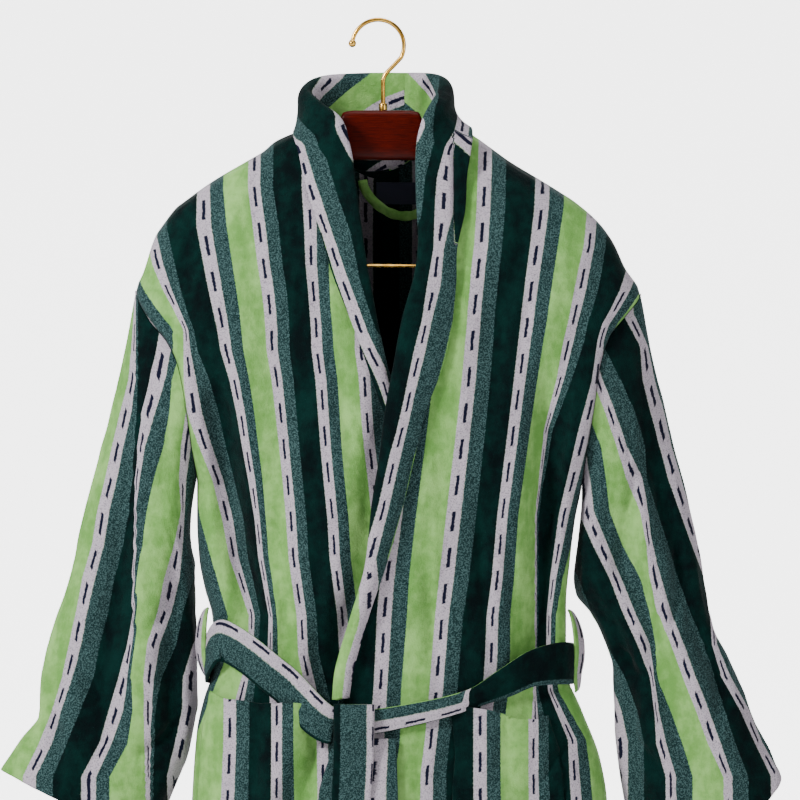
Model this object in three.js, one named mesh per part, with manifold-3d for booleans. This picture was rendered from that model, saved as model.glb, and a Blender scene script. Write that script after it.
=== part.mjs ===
// Shawl collar bathrobe in striped cotton velour, hanging on a wooden hanger with a brass hook.
// Millimetres, +Z up. The front faces -Y and the wearer's left is at +X.
// The origin is on the underside of the hook's crown, where a rail or a peg carries it.
// Every cloth piece is a grid of points on its outer face, with a wall of the cloth's thickness behind it.

import * as THREE from 'three';
import { mergeVertices } from 'three/addons/utils/BufferGeometryUtils.js';
import Module from 'manifold-3d';

const wasm = await Module();
wasm.setup();

// Cloth thicknesses and the space left at seams
const VELOUR = 2.6;
const DOUBLED = 4.6;
const SEAM_GAP = 0.3;
const HALF_SEAM = 0.15;
const ROOM = 0.45;

// Main sizes of the robe
const HEM_HEIGHT = -1330;
const NECK_RIGHT = { x: -64, z: -103 };
const NECK_LEFT = { x: 65, z: -96 };
const BACK_NECK_DROP = 53;
const SECTION_POWER = 2.3;
const UNDERLAP = { depth: 15, before: 46, over: 34, top: -285, fade: 70 };
const FOLD_MARGIN = 0.12;
const SLEEVE_SEAM = 0.5;
const DROOP_OUT = 0.55;

// Rows of the panels: some from the shoulder to the underarm, then these heights down to the hem
const PANEL_COLUMNS = { front: 18, back: 24 };
const SLEEVE_AROUND = 22;
const YOKE_ROWS = 9;
const YOKE_FOOT = -480;
const YOKE_EASE = 1.7;
const FRONT_EASE = 1.25;
const BACK_EASE = 0.4;
const LOWER_ROWS = [
  -520, -560, -600, -640, -684, -724, -764, -804, -844, -884, -950, -1020, -1100, -1180, -1260, HEM_HEIGHT,
];

// Half width of the body at each height, from the neck point down the shoulder, armhole and side seam
const RIGHT_SIDE = [
  { z: -103, front: 64, back: 64 },
  { z: -120, front: 105, back: 105 },
  { z: -130, front: 117, back: 117 },
  { z: -140, front: 134, back: 134 },
  { z: -160, front: 168, back: 168 },
  { z: -180, front: 196, back: 196 },
  { z: -187, front: 205, back: 205 },
  { z: -201, front: 216, back: 216 },
  { z: -216, front: 226, back: 226 },
  { z: -252, front: 238, back: 238 },
  { z: -270, front: 245, back: 245 },
  { z: -287, front: 239, back: 241 },
  { z: -300, front: 226, back: 236 },
  { z: -322, front: 204, back: 225 },
  { z: -345, front: 195, back: 216 },
  { z: -380, front: 190, back: 203 },
  { z: -430, front: 186, back: 191 },
  { z: -462, front: 184, back: 184 },
  { z: -499, front: 184, back: 184 },
  { z: -537, front: 182, back: 182 },
  { z: -570, front: 176, back: 176 },
  { z: -595, front: 169, back: 169 },
  { z: -620, front: 167, back: 167 },
  { z: -650, front: 168, back: 168 },
  { z: -680, front: 177, back: 177 },
  { z: -711, front: 184, back: 184 },
  { z: -780, front: 189, back: 189 },
  { z: -900, front: 194, back: 194 },
  { z: -1100, front: 204, back: 204 },
  { z: -1330, front: 214, back: 214 },
];

const LEFT_SIDE = [
  { z: -96, front: 65, back: 65 },
  { z: -117, front: 98, back: 98 },
  { z: -130, front: 116, back: 116 },
  { z: -140, front: 130, back: 130 },
  { z: -160, front: 163, back: 163 },
  { z: -173, front: 184, back: 184 },
  { z: -181, front: 196, back: 196 },
  { z: -198, front: 216, back: 216 },
  { z: -208, front: 225, back: 225 },
  { z: -223, front: 235, back: 235 },
  { z: -247, front: 246, back: 246 },
  { z: -273, front: 261, back: 261 },
  { z: -286, front: 253, back: 257 },
  { z: -297, front: 240, back: 252 },
  { z: -316, front: 222, back: 245 },
  { z: -328, front: 214, back: 240 },
  { z: -350, front: 211, back: 232 },
  { z: -380, front: 210, back: 222 },
  { z: -430, front: 206, back: 209 },
  { z: -470, front: 202, back: 202 },
  { z: -500, front: 196, back: 196 },
  { z: -540, front: 191, back: 191 },
  { z: -587, front: 187, back: 187 },
  { z: -650, front: 187, back: 187 },
  { z: -690, front: 202, back: 202 },
  { z: -740, front: 221, back: 221 },
  { z: -780, front: 228, back: 228 },
  { z: -900, front: 234, back: 234 },
  { z: -1100, front: 242, back: 242 },
  { z: -1330, front: 250, back: 250 },
];

// How far the front and the back stand out from the plane of the hanger
const DEPTHS = [
  { z: -96, front: 14, back: 16 },
  { z: -120, front: 27, back: 30 },
  { z: -150, front: 39, back: 44 },
  { z: -200, front: 51, back: 52 },
  { z: -270, front: 60, back: 56 },
  { z: -350, front: 66, back: 58 },
  { z: -450, front: 70, back: 58 },
  { z: -560, front: 66, back: 54 },
  { z: -620, front: 60, back: 50 },
  { z: -660, front: 60, back: 50 },
  { z: -720, front: 68, back: 58 },
  { z: -850, front: 82, back: 74 },
  { z: -1100, front: 96, back: 90 },
  { z: -1330, front: 102, back: 96 },
];

// Armholes, from the shoulder tip down to the underarm, and how far they open to the front and back
const ARMHOLE_POWER = 0.7;
const ARMHOLES = {
  right: { tip: -270, under: -462, front: 40, back: 36 },
  left: { tip: -273, under: -470, front: 40, back: 36 },
};

// Front edges, where the collar is sewn on, and below it the front's own edge
const RIGHT_FRONT_EDGE = [
  { z: -103, x: -64 },
  { z: -120, x: -56 },
  { z: -138, x: -46 },
  { z: -180, x: -40 },
  { z: -220, x: -35 },
  { z: -265, x: -29 },
  { z: -290, x: -22 },
  { z: -321, x: -16 },
  { z: -363, x: -4 },
  { z: -420, x: 22 },
  { z: -500, x: 52 },
  { z: -600, x: 76 },
  { z: -700, x: 88 },
  { z: -1330, x: 96 },
];

const LEFT_FRONT_EDGE = [
  { z: -96, x: 65 },
  { z: -112, x: 60 },
  { z: -130, x: 56 },
  { z: -187, x: 55 },
  { z: -241, x: 56 },
  { z: -264, x: 49 },
  { z: -302, x: 39 },
  { z: -347, x: 31 },
  { z: -370, x: 26 },
  { z: -412, x: 20 },
  { z: -440, x: 16 },
  { z: -480, x: 9 },
  { z: -557, x: -3 },
  { z: -600, x: -20 },
  { z: -643, x: -34 },
  { z: -683, x: -42 },
  { z: -722, x: -47 },
  { z: -780, x: -62 },
  { z: -1330, x: -70 },
];

// Long folds of the body: soft troughs that run down the cloth from x_top to x_foot
const FRONT_FOLDS = [
  { x_top: 166, x_foot: 155, top: -310, foot: -730, width: 17, depth: 24 },
  { x_top: 118, x_foot: 92, top: -230, foot: -650, width: 26, depth: 7 },
  { x_top: 70, x_foot: 55, top: -330, foot: -660, width: 20, depth: 5 },
  { x_top: -166, x_foot: -127, top: -330, foot: -640, width: 15, depth: 22 },
  { x_top: -108, x_foot: -100, top: -220, foot: -650, width: 24, depth: 7 },
  { x_top: -72, x_foot: -20, top: -235, foot: -470, width: 9, depth: 3 },
  { x_top: 150, x_foot: 168, top: -690, foot: -1500, width: 24, depth: 26 },
  { x_top: 78, x_foot: 92, top: -670, foot: -1500, width: 26, depth: 22 },
  { x_top: 12, x_foot: 18, top: -740, foot: -1500, width: 26, depth: 16 },
  { x_top: -92, x_foot: -100, top: -700, foot: -1500, width: 25, depth: 24 },
  { x_top: -142, x_foot: -160, top: -690, foot: -1500, width: 20, depth: 20 },
];

const BACK_FOLDS = [
  { x_top: -150, x_foot: -128, top: -290, foot: -640, width: 20, depth: 12 },
  { x_top: -84, x_foot: -70, top: -230, foot: -640, width: 26, depth: 9 },
  { x_top: -6, x_foot: 4, top: -250, foot: -640, width: 28, depth: 7 },
  { x_top: 76, x_foot: 66, top: -230, foot: -640, width: 26, depth: 9 },
  { x_top: 158, x_foot: 140, top: -290, foot: -640, width: 20, depth: 13 },
  { x_top: -128, x_foot: -150, top: -665, foot: -1500, width: 24, depth: 24 },
  { x_top: -66, x_foot: -78, top: -665, foot: -1500, width: 26, depth: 26 },
  { x_top: 6, x_foot: 4, top: -665, foot: -1500, width: 28, depth: 24 },
  { x_top: 74, x_foot: 90, top: -665, foot: -1500, width: 26, depth: 26 },
  { x_top: 136, x_foot: 168, top: -665, foot: -1500, width: 24, depth: 24 },
];

// Sleeves: the outer and the inner end of each ring, its depth, how far it stands back, and how far the
// middle of its front hangs below the line of its ends
const RIGHT_SLEEVE = [
  { out_x: -245, out_z: -271, in_x: -186, in_z: -463, deep: 38, back: 0, droop: 0 },
  { out_x: -252, out_z: -306, in_x: -190, in_z: -486, deep: 43, back: 4, droop: 0 },
  { out_x: -260, out_z: -346, in_x: -191, in_z: -508, deep: 46, back: 9, droop: 0 },
  { out_x: -268, out_z: -380, in_x: -190, in_z: -527, deep: 47, back: 13, droop: 0 },
  { out_x: -279, out_z: -424, in_x: -187, in_z: -546, deep: 47, back: 16, droop: 0 },
  { out_x: -291, out_z: -469, in_x: -187, in_z: -565, deep: 46, back: 18, droop: 0 },
  { out_x: -303, out_z: -517, in_x: -186, in_z: -592, deep: 45, back: 18, droop: 0 },
  { out_x: -314, out_z: -565, in_x: -185, in_z: -622, deep: 44, back: 18, droop: 0 },
  { out_x: -328, out_z: -604, in_x: -184, in_z: -650, deep: 44, back: 17, droop: 0 },
  { out_x: -338, out_z: -640, in_x: -184, in_z: -682, deep: 43, back: 16, droop: 0 },
  { out_x: -343, out_z: -672, in_x: -187, in_z: -708, deep: 42, back: 14, droop: 0 },
  { out_x: -344, out_z: -697, in_x: -193, in_z: -738, deep: 41, back: 12, droop: 0 },
  { out_x: -361, out_z: -720, in_x: -207, in_z: -770, deep: 41, back: 10, droop: 0 },
  { out_x: -381, out_z: -752, in_x: -230, in_z: -824, deep: 41, back: 8, droop: 0 },
];

const LEFT_SLEEVE = [
  { out_x: 261, out_z: -274, in_x: 204, in_z: -471, deep: 38, back: 0, droop: 0 },
  { out_x: 267, out_z: -303, in_x: 203, in_z: -494, deep: 43, back: 4, droop: 0 },
  { out_x: 274, out_z: -340, in_x: 200, in_z: -516, deep: 46, back: 9, droop: 0 },
  { out_x: 285, out_z: -380, in_x: 197, in_z: -536, deep: 47, back: 13, droop: 0 },
  { out_x: 296, out_z: -424, in_x: 195, in_z: -555, deep: 46, back: 16, droop: 0 },
  { out_x: 310, out_z: -482, in_x: 197, in_z: -574, deep: 45, back: 18, droop: 0 },
  { out_x: 321, out_z: -528, in_x: 213, in_z: -597, deep: 45, back: 18, droop: 0 },
  { out_x: 328, out_z: -570, in_x: 226, in_z: -624, deep: 45, back: 17, droop: 0 },
  { out_x: 335, out_z: -606, in_x: 234, in_z: -652, deep: 45, back: 16, droop: 0 },
  { out_x: 349, out_z: -637, in_x: 236, in_z: -682, deep: 45, back: 14, droop: 0 },
  { out_x: 366, out_z: -675, in_x: 237, in_z: -714, deep: 44, back: 12, droop: 0 },
  { out_x: 378, out_z: -706, in_x: 241, in_z: -750, deep: 43, back: 11, droop: 4 },
  { out_x: 390, out_z: -730, in_x: 248, in_z: -792, deep: 42, back: 10, droop: 11 },
  { out_x: 402, out_z: -755, in_x: 261, in_z: -841, deep: 41, back: 8, droop: 20 },
];

// Folds of the sleeves: troughs from one ring to another, at an angle from the outer edge round by the front
const RIGHT_SLEEVE_FOLDS = [
  { angle_top: 60, angle_foot: 92, first: 2, last: 14, width: 16, depth: 15 },
  { angle_top: 128, angle_foot: 142, first: 4, last: 12, width: 14, depth: 11 },
  { angle_top: 30, angle_foot: 44, first: 6, last: 15, width: 14, depth: 6 },
  { angle_top: 235, angle_foot: 250, first: 1, last: 12, width: 18, depth: 12 },
  { angle_top: 300, angle_foot: 310, first: 4, last: 15, width: 16, depth: 8 },
];

const LEFT_SLEEVE_FOLDS = [
  { angle_top: 104, angle_foot: 96, first: 2, last: 13, width: 15, depth: 14 },
  { angle_top: 54, angle_foot: 40, first: 1, last: 11, width: 15, depth: 10 },
  { angle_top: 140, angle_foot: 150, first: 5, last: 14, width: 14, depth: 9 },
  { angle_top: 235, angle_foot: 250, first: 1, last: 12, width: 18, depth: 12 },
  { angle_top: 300, angle_foot: 310, first: 4, last: 15, width: 16, depth: 8 },
];

// Collar round the neck: its seam on the back (at x) or on a front (at z), the roll where it turns over,
// the edge of the fall, and the way it faces: 90 degrees is back, 180 and 0 the sides, 270 and -90 the front
const RIGHT_COLLAR = [
  {
    seam: 'back', at: 25, facing: 90, gap: 12,
    roll_x: 25, roll_y: 49, roll_z: -57, fall_x: 25, fall_y: 72, fall_z: -160,
  },
  {
    seam: 'back', at: 0, facing: 93, gap: 12,
    roll_x: -2, roll_y: 49, roll_z: -57, fall_x: -4, fall_y: 72, fall_z: -159,
  },
  {
    seam: 'back', at: -26, facing: 106, gap: 12,
    roll_x: -31, roll_y: 44, roll_z: -58, fall_x: -35, fall_y: 66, fall_z: -154,
  },
  {
    seam: 'back', at: -45, facing: 130, gap: 12,
    roll_x: -54, roll_y: 33, roll_z: -60, fall_x: -62, fall_y: 51, fall_z: -143,
  },
  {
    seam: 'back', at: -58, facing: 156, gap: 12,
    roll_x: -69, roll_y: 17, roll_z: -66, fall_x: -82, fall_y: 27, fall_z: -127,
  },
  {
    seam: 'back', at: -64, facing: 186, gap: 12,
    roll_x: -74, roll_y: -2, roll_z: -76, fall_x: -85, fall_y: 1, fall_z: -111,
  },
  {
    seam: 'front', at: -112, facing: 216, gap: 11,
    roll_x: -63, roll_y: -21, roll_z: -88, fall_x: -85, fall_y: -21, fall_z: -119,
  },
  {
    seam: 'front', at: -124, facing: 248, gap: 9,
    roll_x: -43, roll_y: -34, roll_z: -104, fall_x: -81, fall_y: -36, fall_z: -134,
  },
];

const LEFT_COLLAR = [
  {
    seam: 'back', at: 25, facing: 90, gap: 12,
    roll_x: 25, roll_y: 49, roll_z: -57, fall_x: 25, fall_y: 72, fall_z: -160,
  },
  {
    seam: 'back', at: 40, facing: 76, gap: 12,
    roll_x: 41, roll_y: 43, roll_z: -57, fall_x: 46, fall_y: 64, fall_z: -155,
  },
  {
    seam: 'back', at: 52, facing: 52, gap: 12,
    roll_x: 56, roll_y: 31, roll_z: -59, fall_x: 68, fall_y: 47, fall_z: -143,
  },
  {
    seam: 'back', at: 61, facing: 24, gap: 12,
    roll_x: 65, roll_y: 15, roll_z: -65, fall_x: 84, fall_y: 24, fall_z: -124,
  },
  {
    seam: 'back', at: 65, facing: -8, gap: 12,
    roll_x: 64, roll_y: -3, roll_z: -76, fall_x: 90, fall_y: 1, fall_z: -108,
  },
  {
    seam: 'front', at: -106, facing: -38, gap: 11,
    roll_x: 57, roll_y: -21, roll_z: -87, fall_x: 92, fall_y: -21, fall_z: -117,
  },
  {
    seam: 'front', at: -120, facing: -68, gap: 9,
    roll_x: 47, roll_y: -34, roll_z: -105, fall_x: 90, fall_y: -36, fall_z: -136,
  },
];

// Down the fronts the collar lies on the cloth: its roll and its fall at each section
const RIGHT_LAPEL = [
  { roll_x: -31, roll_z: -130, fall_x: -77, fall_z: -152 },
  { roll_x: -26, roll_z: -166, fall_x: -70, fall_z: -178 },
  { roll_x: -21, roll_z: -204, fall_x: -58, fall_z: -214 },
  { roll_x: -15, roll_z: -244, fall_x: -47, fall_z: -252 },
  { roll_x: -8, roll_z: -282, fall_x: -33, fall_z: -288 },
  { roll_x: -1, roll_z: -318, fall_x: -20, fall_z: -320 },
  { roll_x: 8, roll_z: -354, fall_x: -8, fall_z: -356 },
  { roll_x: 22, roll_z: -392, fall_x: 6, fall_z: -394 },
  { roll_x: 42, roll_z: -440, fall_x: 27, fall_z: -442 },
  { roll_x: 62, roll_z: -500, fall_x: 48, fall_z: -502 },
];

const LEFT_LAPEL = [
  { roll_x: 38, roll_z: -130, fall_x: 82, fall_z: -160 },
  { roll_x: 38, roll_z: -176, fall_x: 77, fall_z: -192 },
  { roll_x: 40, roll_z: -222, fall_x: 75, fall_z: -230 },
  { roll_x: 36, roll_z: -256, fall_x: 75, fall_z: -266 },
  { roll_x: 24, roll_z: -300, fall_x: 71, fall_z: -306 },
  { roll_x: 15, roll_z: -348, fall_x: 62, fall_z: -346 },
  { roll_x: 7, roll_z: -392, fall_x: 46, fall_z: -388 },
  { roll_x: 1, roll_z: -440, fall_x: 34, fall_z: -434 },
  { roll_x: -6, roll_z: -484, fall_x: 23, fall_z: -480 },
  { roll_x: -13, roll_z: -546, fall_x: 6, fall_z: -540 },
  { roll_x: -28, roll_z: -598, fall_x: -11, fall_z: -590 },
  { roll_x: -42, roll_z: -646, fall_x: -26, fall_z: -642 },
  { roll_x: -45.5, roll_z: -678, fall_x: -32, fall_z: -676 },
];
const COLLAR_SEAM_RISE = 1.4;
const COLLAR_SEAM_X = 25;
const NECK_BACK_Y = 30;
const LAPEL_SEAM_INSET = 7;
const LAPEL_ROLL = 3.3;

// Patch pockets: the columns and rows of the front that each one covers
const POCKET_ROWS = { first: 14, last: 19 };
const RIGHT_POCKET_COLUMNS = { first: 7, last: 17 };
const LEFT_POCKET_COLUMNS = { first: 7, last: 14 };

// Belt: height and upright width at each place across the front, and level round the back
const BELT_OUT = 4.2;
const BELT_BACK = { z: -645, width: 40 };
const BELT_STEPS = 44;
const BELT_ENDS = { right: -45, left: -8 };
const BELT_FRONT = [
  { x: -165, z: -618, width: 42 },
  { x: -155, z: -620, width: 43 },
  { x: -100, z: -660, width: 40 },
  { x: -45, z: -704, width: 37 },
  { x: -8, z: -700, width: 25 },
  { x: 40, z: -690, width: 22 },
  { x: 90, z: -677, width: 20 },
  { x: 126, z: -662, width: 31 },
  { x: 155, z: -648, width: 38 },
  { x: 190, z: -640, width: 44 },
];
const FRONT_TAIL = [
  { z: -682, x: -25.5, width: 41, out: 13.8 },
  { z: -730, x: -26, width: 40, out: 13.8 },
  { z: -780, x: -28.5, width: 39, out: 11 },
  { z: -900, x: -31, width: 40, out: 10.4 },
  { z: -1110, x: -33, width: 40, out: 10.4 },
];
const REAR_TAIL = [
  { z: -716, x: -2, width: 36, out: 5.1 },
  { z: -780, x: -2, width: 40, out: 5.1 },
  { z: -900, x: 4, width: 40, out: 5.1 },
  { z: -1150, x: 8, width: 40, out: 5.1 },
];
const TAIL_STEPS = 14;
const BELT_LOOPS = { right: { top: -588, foot: -660 }, left: { top: -590, foot: -674 } };
const LOOP_STEPS = 10;
const LOOP_EASE = 0.55;
const LOOP_WIDTH = 16;
const LOOP_SLACK = 3;
const LOOP_TURN = 38;
const LOOP_FORWARD = -5;
const LOOP_CLOTH = 2.2;

// Loop to hang the robe up by, and the plain label behind it, inside the back of the neck
const HANG_LOOP = { x: 25, half: 43, top: -158, drop: 36, thick: 8, off: 1, forward: 3.5, steps: 12 };
const LABEL = { x: 25, half: 29, top: -160, foot: -182, thick: 1.2, off: 1.1, columns: 6, rows: 3 };

// Hanger
const HANGER_MIDDLE = 1;
const HANGER_PROFILE = [
  { reach: 0, top: -89, foot: -139, half: 12 },
  { reach: 26, top: -89, foot: -139, half: 12 },
  { reach: 40, top: -98, foot: -142, half: 11 },
  { reach: 62, top: -108, foot: -150, half: 10 },
  { reach: 100, top: -125, foot: -164, half: 10 },
  { reach: 130, top: -150, foot: -183, half: 11 },
  { reach: 170, top: -175, foot: -206, half: 12 },
  { reach: 190, top: -184, foot: -214, half: 12 },
  { reach: 202, top: -193, foot: -212, half: 8 },
];
const HANGER_AROUND = 12;
const HANGER_SQUARE = 0.7;
const HOOK_WIRE = 2.2;
const HOOK_CROWN = { x: -2, z: -23.8, radius: 26 };
const HOOK_STEM_X = 3;
const HOOK_TIP_BALL = 4;
const FERRULE = { radius: 4.2, top: -81.5, foot: -88.7 };
const BAR_WIRE = 1.6;
const BAR_HEIGHT = -245;
const BAR_REACH = 160;
const BAR_ENDS_TOP = -201.5;
const BAR_BEND = 14;

// Colours
const BOTTLE_GREEN = 0x0b3d33;
const APPLE_GREEN = 0x8fb96a;
const HEATHER_TEAL = 0x2f5a55;
const LILAC_GREY = 0xb9adb4;
const MAHOGANY = 0x5c1f12;
const BRASS = 0xc9a35a;
const NAVY = 0x141833;

const clamp = (value, low, high) => Math.min(Math.max(value, low), high);
const mix = (a, b, t) => a + (b - a) * t;
const radians = (degrees) => degrees * Math.PI / 180;

function smoothstep(value) {
  const t = clamp(value, 0, 1);
  return t * t * (3 - 2 * t);
}

// A smooth curve through one column of a table, that never swings past its rows
function tableCurve(rows, key, column) {
  const ordered = [...rows].sort((a, b) => a[key] - b[key]);
  const at = ordered.map((row) => row[key]);
  const values = ordered.map((row) => row[column]);
  const slopes = at.slice(1).map((x, i) => (values[i + 1] - values[i]) / (x - at[i]));
  const tangents = values.map((_, i) => {
    if (i === 0) return slopes[0];
    if (i === slopes.length) return slopes[i - 1];
    const before = slopes[i - 1];
    const after = slopes[i];
    return before * after <= 0 ? 0 : 2 * before * after / (before + after);
  });
  return (x) => {
    const inside = clamp(x, at[0], at[at.length - 1]);
    let i = 0;
    while (i < at.length - 2 && inside > at[i + 1]) i += 1;
    const span = at[i + 1] - at[i];
    const t = (inside - at[i]) / span;
    const rise = (1 + 2 * t) * (1 - t) * (1 - t) * values[i] + t * t * (3 - 2 * t) * values[i + 1];
    return rise + span * t * (1 - t) * ((1 - t) * tangents[i] - t * tangents[i + 1]);
  };
}

const halfWidth = {
  right: { front: tableCurve(RIGHT_SIDE, 'z', 'front'), back: tableCurve(RIGHT_SIDE, 'z', 'back') },
  left: { front: tableCurve(LEFT_SIDE, 'z', 'front'), back: tableCurve(LEFT_SIDE, 'z', 'back') },
};
const depth = { front: tableCurve(DEPTHS, 'z', 'front'), back: tableCurve(DEPTHS, 'z', 'back') };
const frontEdge = {
  right: tableCurve(RIGHT_FRONT_EDGE, 'z', 'x'),
  left: tableCurve(LEFT_FRONT_EDGE, 'z', 'x'),
};

// How far an armhole's edge stands out from the plane of the hanger, at one height
function armholeDepth(side, face, z) {
  const hole = ARMHOLES[side];
  const middle = (hole.tip + hole.under) / 2;
  const reach = (hole.tip - hole.under) / 2;
  const level = (z - middle) / reach;
  return Math.abs(level) >= 1 ? 0 : hole[face] * (1 - level * level) ** ARMHOLE_POWER;
}

// Depth of the troughs at one place of the body
function foldDepth(folds, x, z) {
  let total = 0;
  for (const fold of folds) {
    const along = (fold.top - z) / (fold.top - fold.foot);
    if (along <= 0 || along >= 1) continue;
    const centre = mix(fold.x_top, fold.x_foot, along);
    const away = (x - centre) / fold.width;
    const fade = Math.min(1, 4 * along, 3 * (1 - along));
    total += fold.depth * smoothstep(fade) * Math.exp(-away * away);
  }
  return total;
}

// The body without its folds: how far the front or back stands out at x and z
function hullDepth(face, x, z) {
  const side = x < 0 ? 'right' : 'left';
  const across = clamp(Math.abs(x) / halfWidth[side][face](z), 0, 1);
  const edge = armholeDepth(side, face, z);
  const swell = (1 - across ** SECTION_POWER) ** (1 / SECTION_POWER);
  return edge + (depth[face](z) - edge) * swell;
}

function frontY(x, z) {
  const side = x < 0 ? 'right' : 'left';
  const margin = clamp((1 - Math.abs(x) / halfWidth[side].front(z)) / FOLD_MARGIN, 0, 1);
  return -(hullDepth('front', x, z) - margin * foldDepth(FRONT_FOLDS, x, z));
}

function backY(x, z) {
  const side = x < 0 ? 'right' : 'left';
  const margin = clamp((1 - Math.abs(x) / halfWidth[side].back(z)) / FOLD_MARGIN, 0, 1);
  return hullDepth('back', x, z) - margin * foldDepth(BACK_FOLDS, x, z);
}

// The right front passes under the left one, so it stands back where they lap
function underlap(x, z) {
  const start = frontEdge.left(z);
  const across = smoothstep((x - start + UNDERLAP.before) / UNDERLAP.over);
  return UNDERLAP.depth * across * smoothstep((UNDERLAP.top - z) / UNDERLAP.fade);
}

// Outward normals of a grid of points, from the neighbours of each; sense is -1 where they come out inwards
function gridNormals(points, closed, sense = 1) {
  const columns = points.length;
  const rows = points[0].length;
  return points.map((column, i) => column.map((_, j) => {
    const before = closed ? points[(i + columns - 1) % columns] : points[Math.max(i - 1, 0)];
    const after = closed ? points[(i + 1) % columns] : points[Math.min(i + 1, columns - 1)];
    const along = new THREE.Vector3().subVectors(after[j], before[j]);
    const down = new THREE.Vector3();
    down.subVectors(points[i][Math.min(j + 1, rows - 1)], points[i][Math.max(j - 1, 0)]);
    return along.cross(down).normalize().multiplyScalar(sense);
  }));
}

// A grid with its edges moved out a little, for the room that a panel needs round its rim
function extended(points) {
  const beyond = (edge, inner) => {
    const reach = new THREE.Vector3().subVectors(edge, inner).setLength(ROOM);
    return edge.clone().add(reach);
  };
  const longer = points.map((column) => {
    const last = column.length - 1;
    const own = column.map((p) => p.clone());
    own[0] = beyond(column[0], column[1]);
    own[last] = beyond(column[last], column[last - 1]);
    return own;
  });
  const end = longer.length - 1;
  const first = longer[0].map((p, j) => beyond(p, longer[1][j]));
  const final = longer[end].map((p, j) => beyond(p, longer[end - 1][j]));
  return [first, ...longer.slice(1, end), final];
}

// A wall: the outer grid, the inner grid behind it, and the strips that join their edges
function wall(points, thickness, options = {}) {
  const { closed = false, lift = 0, sense = 1, keep = (p) => p } = options;
  const normals = gridNormals(points, closed, sense);
  const columns = points.length;
  const rows = points[0].length;
  const positions = [];
  for (const level of [lift, lift - thickness]) {
    points.forEach((column, i) => column.forEach((point, j) => {
      const moved = keep(point.clone().addScaledVector(normals[i][j], level));
      positions.push(moved.x, moved.y, moved.z);
    }));
  }
  const outer = (i, j) => (i % columns) * rows + j;
  const inner = (i, j) => columns * rows + outer(i, j);
  const faces = [];
  const quad = (a, b, c, d) => faces.push(a, b, c, a, c, d);
  const spans = closed ? columns : columns - 1;
  for (let i = 0; i < spans; i += 1) {
    for (let j = 0; j < rows - 1; j += 1) {
      quad(outer(i, j), outer(i + 1, j), outer(i + 1, j + 1), outer(i, j + 1));
      quad(inner(i, j), inner(i, j + 1), inner(i + 1, j + 1), inner(i + 1, j));
    }
    quad(outer(i, 0), inner(i, 0), inner(i + 1, 0), outer(i + 1, 0));
    quad(outer(i, rows - 1), outer(i + 1, rows - 1), inner(i + 1, rows - 1), inner(i, rows - 1));
  }
  if (!closed) {
    for (let j = 0; j < rows - 1; j += 1) {
      quad(outer(0, j), outer(0, j + 1), inner(0, j + 1), inner(0, j));
      const last = columns - 1;
      quad(outer(last, j), inner(last, j), inner(last, j + 1), outer(last, j + 1));
    }
  }
  return shellGeometry(positions, faces);
}

// A closed geometry whose faces point out
function shellGeometry(positions, faces) {
  const geometry = new THREE.BufferGeometry();
  geometry.setAttribute('position', new THREE.Float32BufferAttribute(positions, 3));
  const a = new THREE.Vector3();
  const b = new THREE.Vector3();
  const c = new THREE.Vector3();
  let volume = 0;
  for (let k = 0; k < faces.length; k += 3) {
    a.fromArray(positions, 3 * faces[k]);
    b.fromArray(positions, 3 * faces[k + 1]);
    c.fromArray(positions, 3 * faces[k + 2]);
    volume += a.dot(b.cross(c));
  }
  geometry.setIndex(volume < 0 ? faces.reverse() : faces);
  return geometry;
}

const robe = new THREE.Group();

function addPiece(name, geometry, color, roughness, metalness = 0) {
  geometry.computeVertexNormals();
  const material = new THREE.MeshStandardMaterial({ color, roughness, metalness });
  const mesh = new THREE.Mesh(geometry, material);
  mesh.name = name;
  robe.add(mesh);
}

// Heights of the rows of one column: closer at the shoulder, and level below the underarm
function columnHeights(top) {
  const heights = [];
  for (let j = 0; j <= YOKE_ROWS; j += 1) {
    const share = j / YOKE_ROWS;
    heights.push(mix(top, YOKE_FOOT, mix(share ** YOKE_EASE, share, 0.5)));
  }
  return heights.concat(LOWER_ROWS);
}

// Columns are closer at the side seam than at the front edge
const columnShare = (i, columns) => 1 - (1 - i / columns) ** FRONT_EASE;

// The height at which a column that keeps its x meets the shoulder seam
function shoulderHeight(side, xAt, neckHeight) {
  let high = neckHeight;
  let low = ARMHOLES[side].tip;
  for (let step = 0; step < 30; step += 1) {
    const middle = (high + low) / 2;
    if (Math.abs(xAt(middle)) > halfWidth[side].front(middle)) high = middle;
    else low = middle;
  }
  return low;
}

// Width of a panel at one height, held at the shoulder tip's above it
function panelReach(side, face, z) {
  return halfWidth[side][face](Math.min(z, ARMHOLES[side].tip));
}

function frontGrid(side, columns) {
  const sign = side === 'right' ? -1 : 1;
  const neck = side === 'right' ? NECK_RIGHT : NECK_LEFT;
  const points = [];
  for (let i = 0; i <= columns; i += 1) {
    const t = columnShare(i, columns);
    const xAt = (z) => mix(frontEdge[side](z), sign * panelReach(side, 'front', z), t);
    const top = shoulderHeight(side, xAt, neck.z);
    points.push(columnHeights(top).map((z) => {
      const x = xAt(z);
      const lap = side === 'right' ? underlap(x, z) : 0;
      return new THREE.Vector3(x, frontY(x, z) + lap, z);
    }));
  }
  return points;
}

// The back's neckline dips between the two neck points
function necklineHeight(x) {
  const neck = x < 0 ? NECK_RIGHT : NECK_LEFT;
  return neck.z - BACK_NECK_DROP * (1 - (x / neck.x) ** 2);
}

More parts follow.
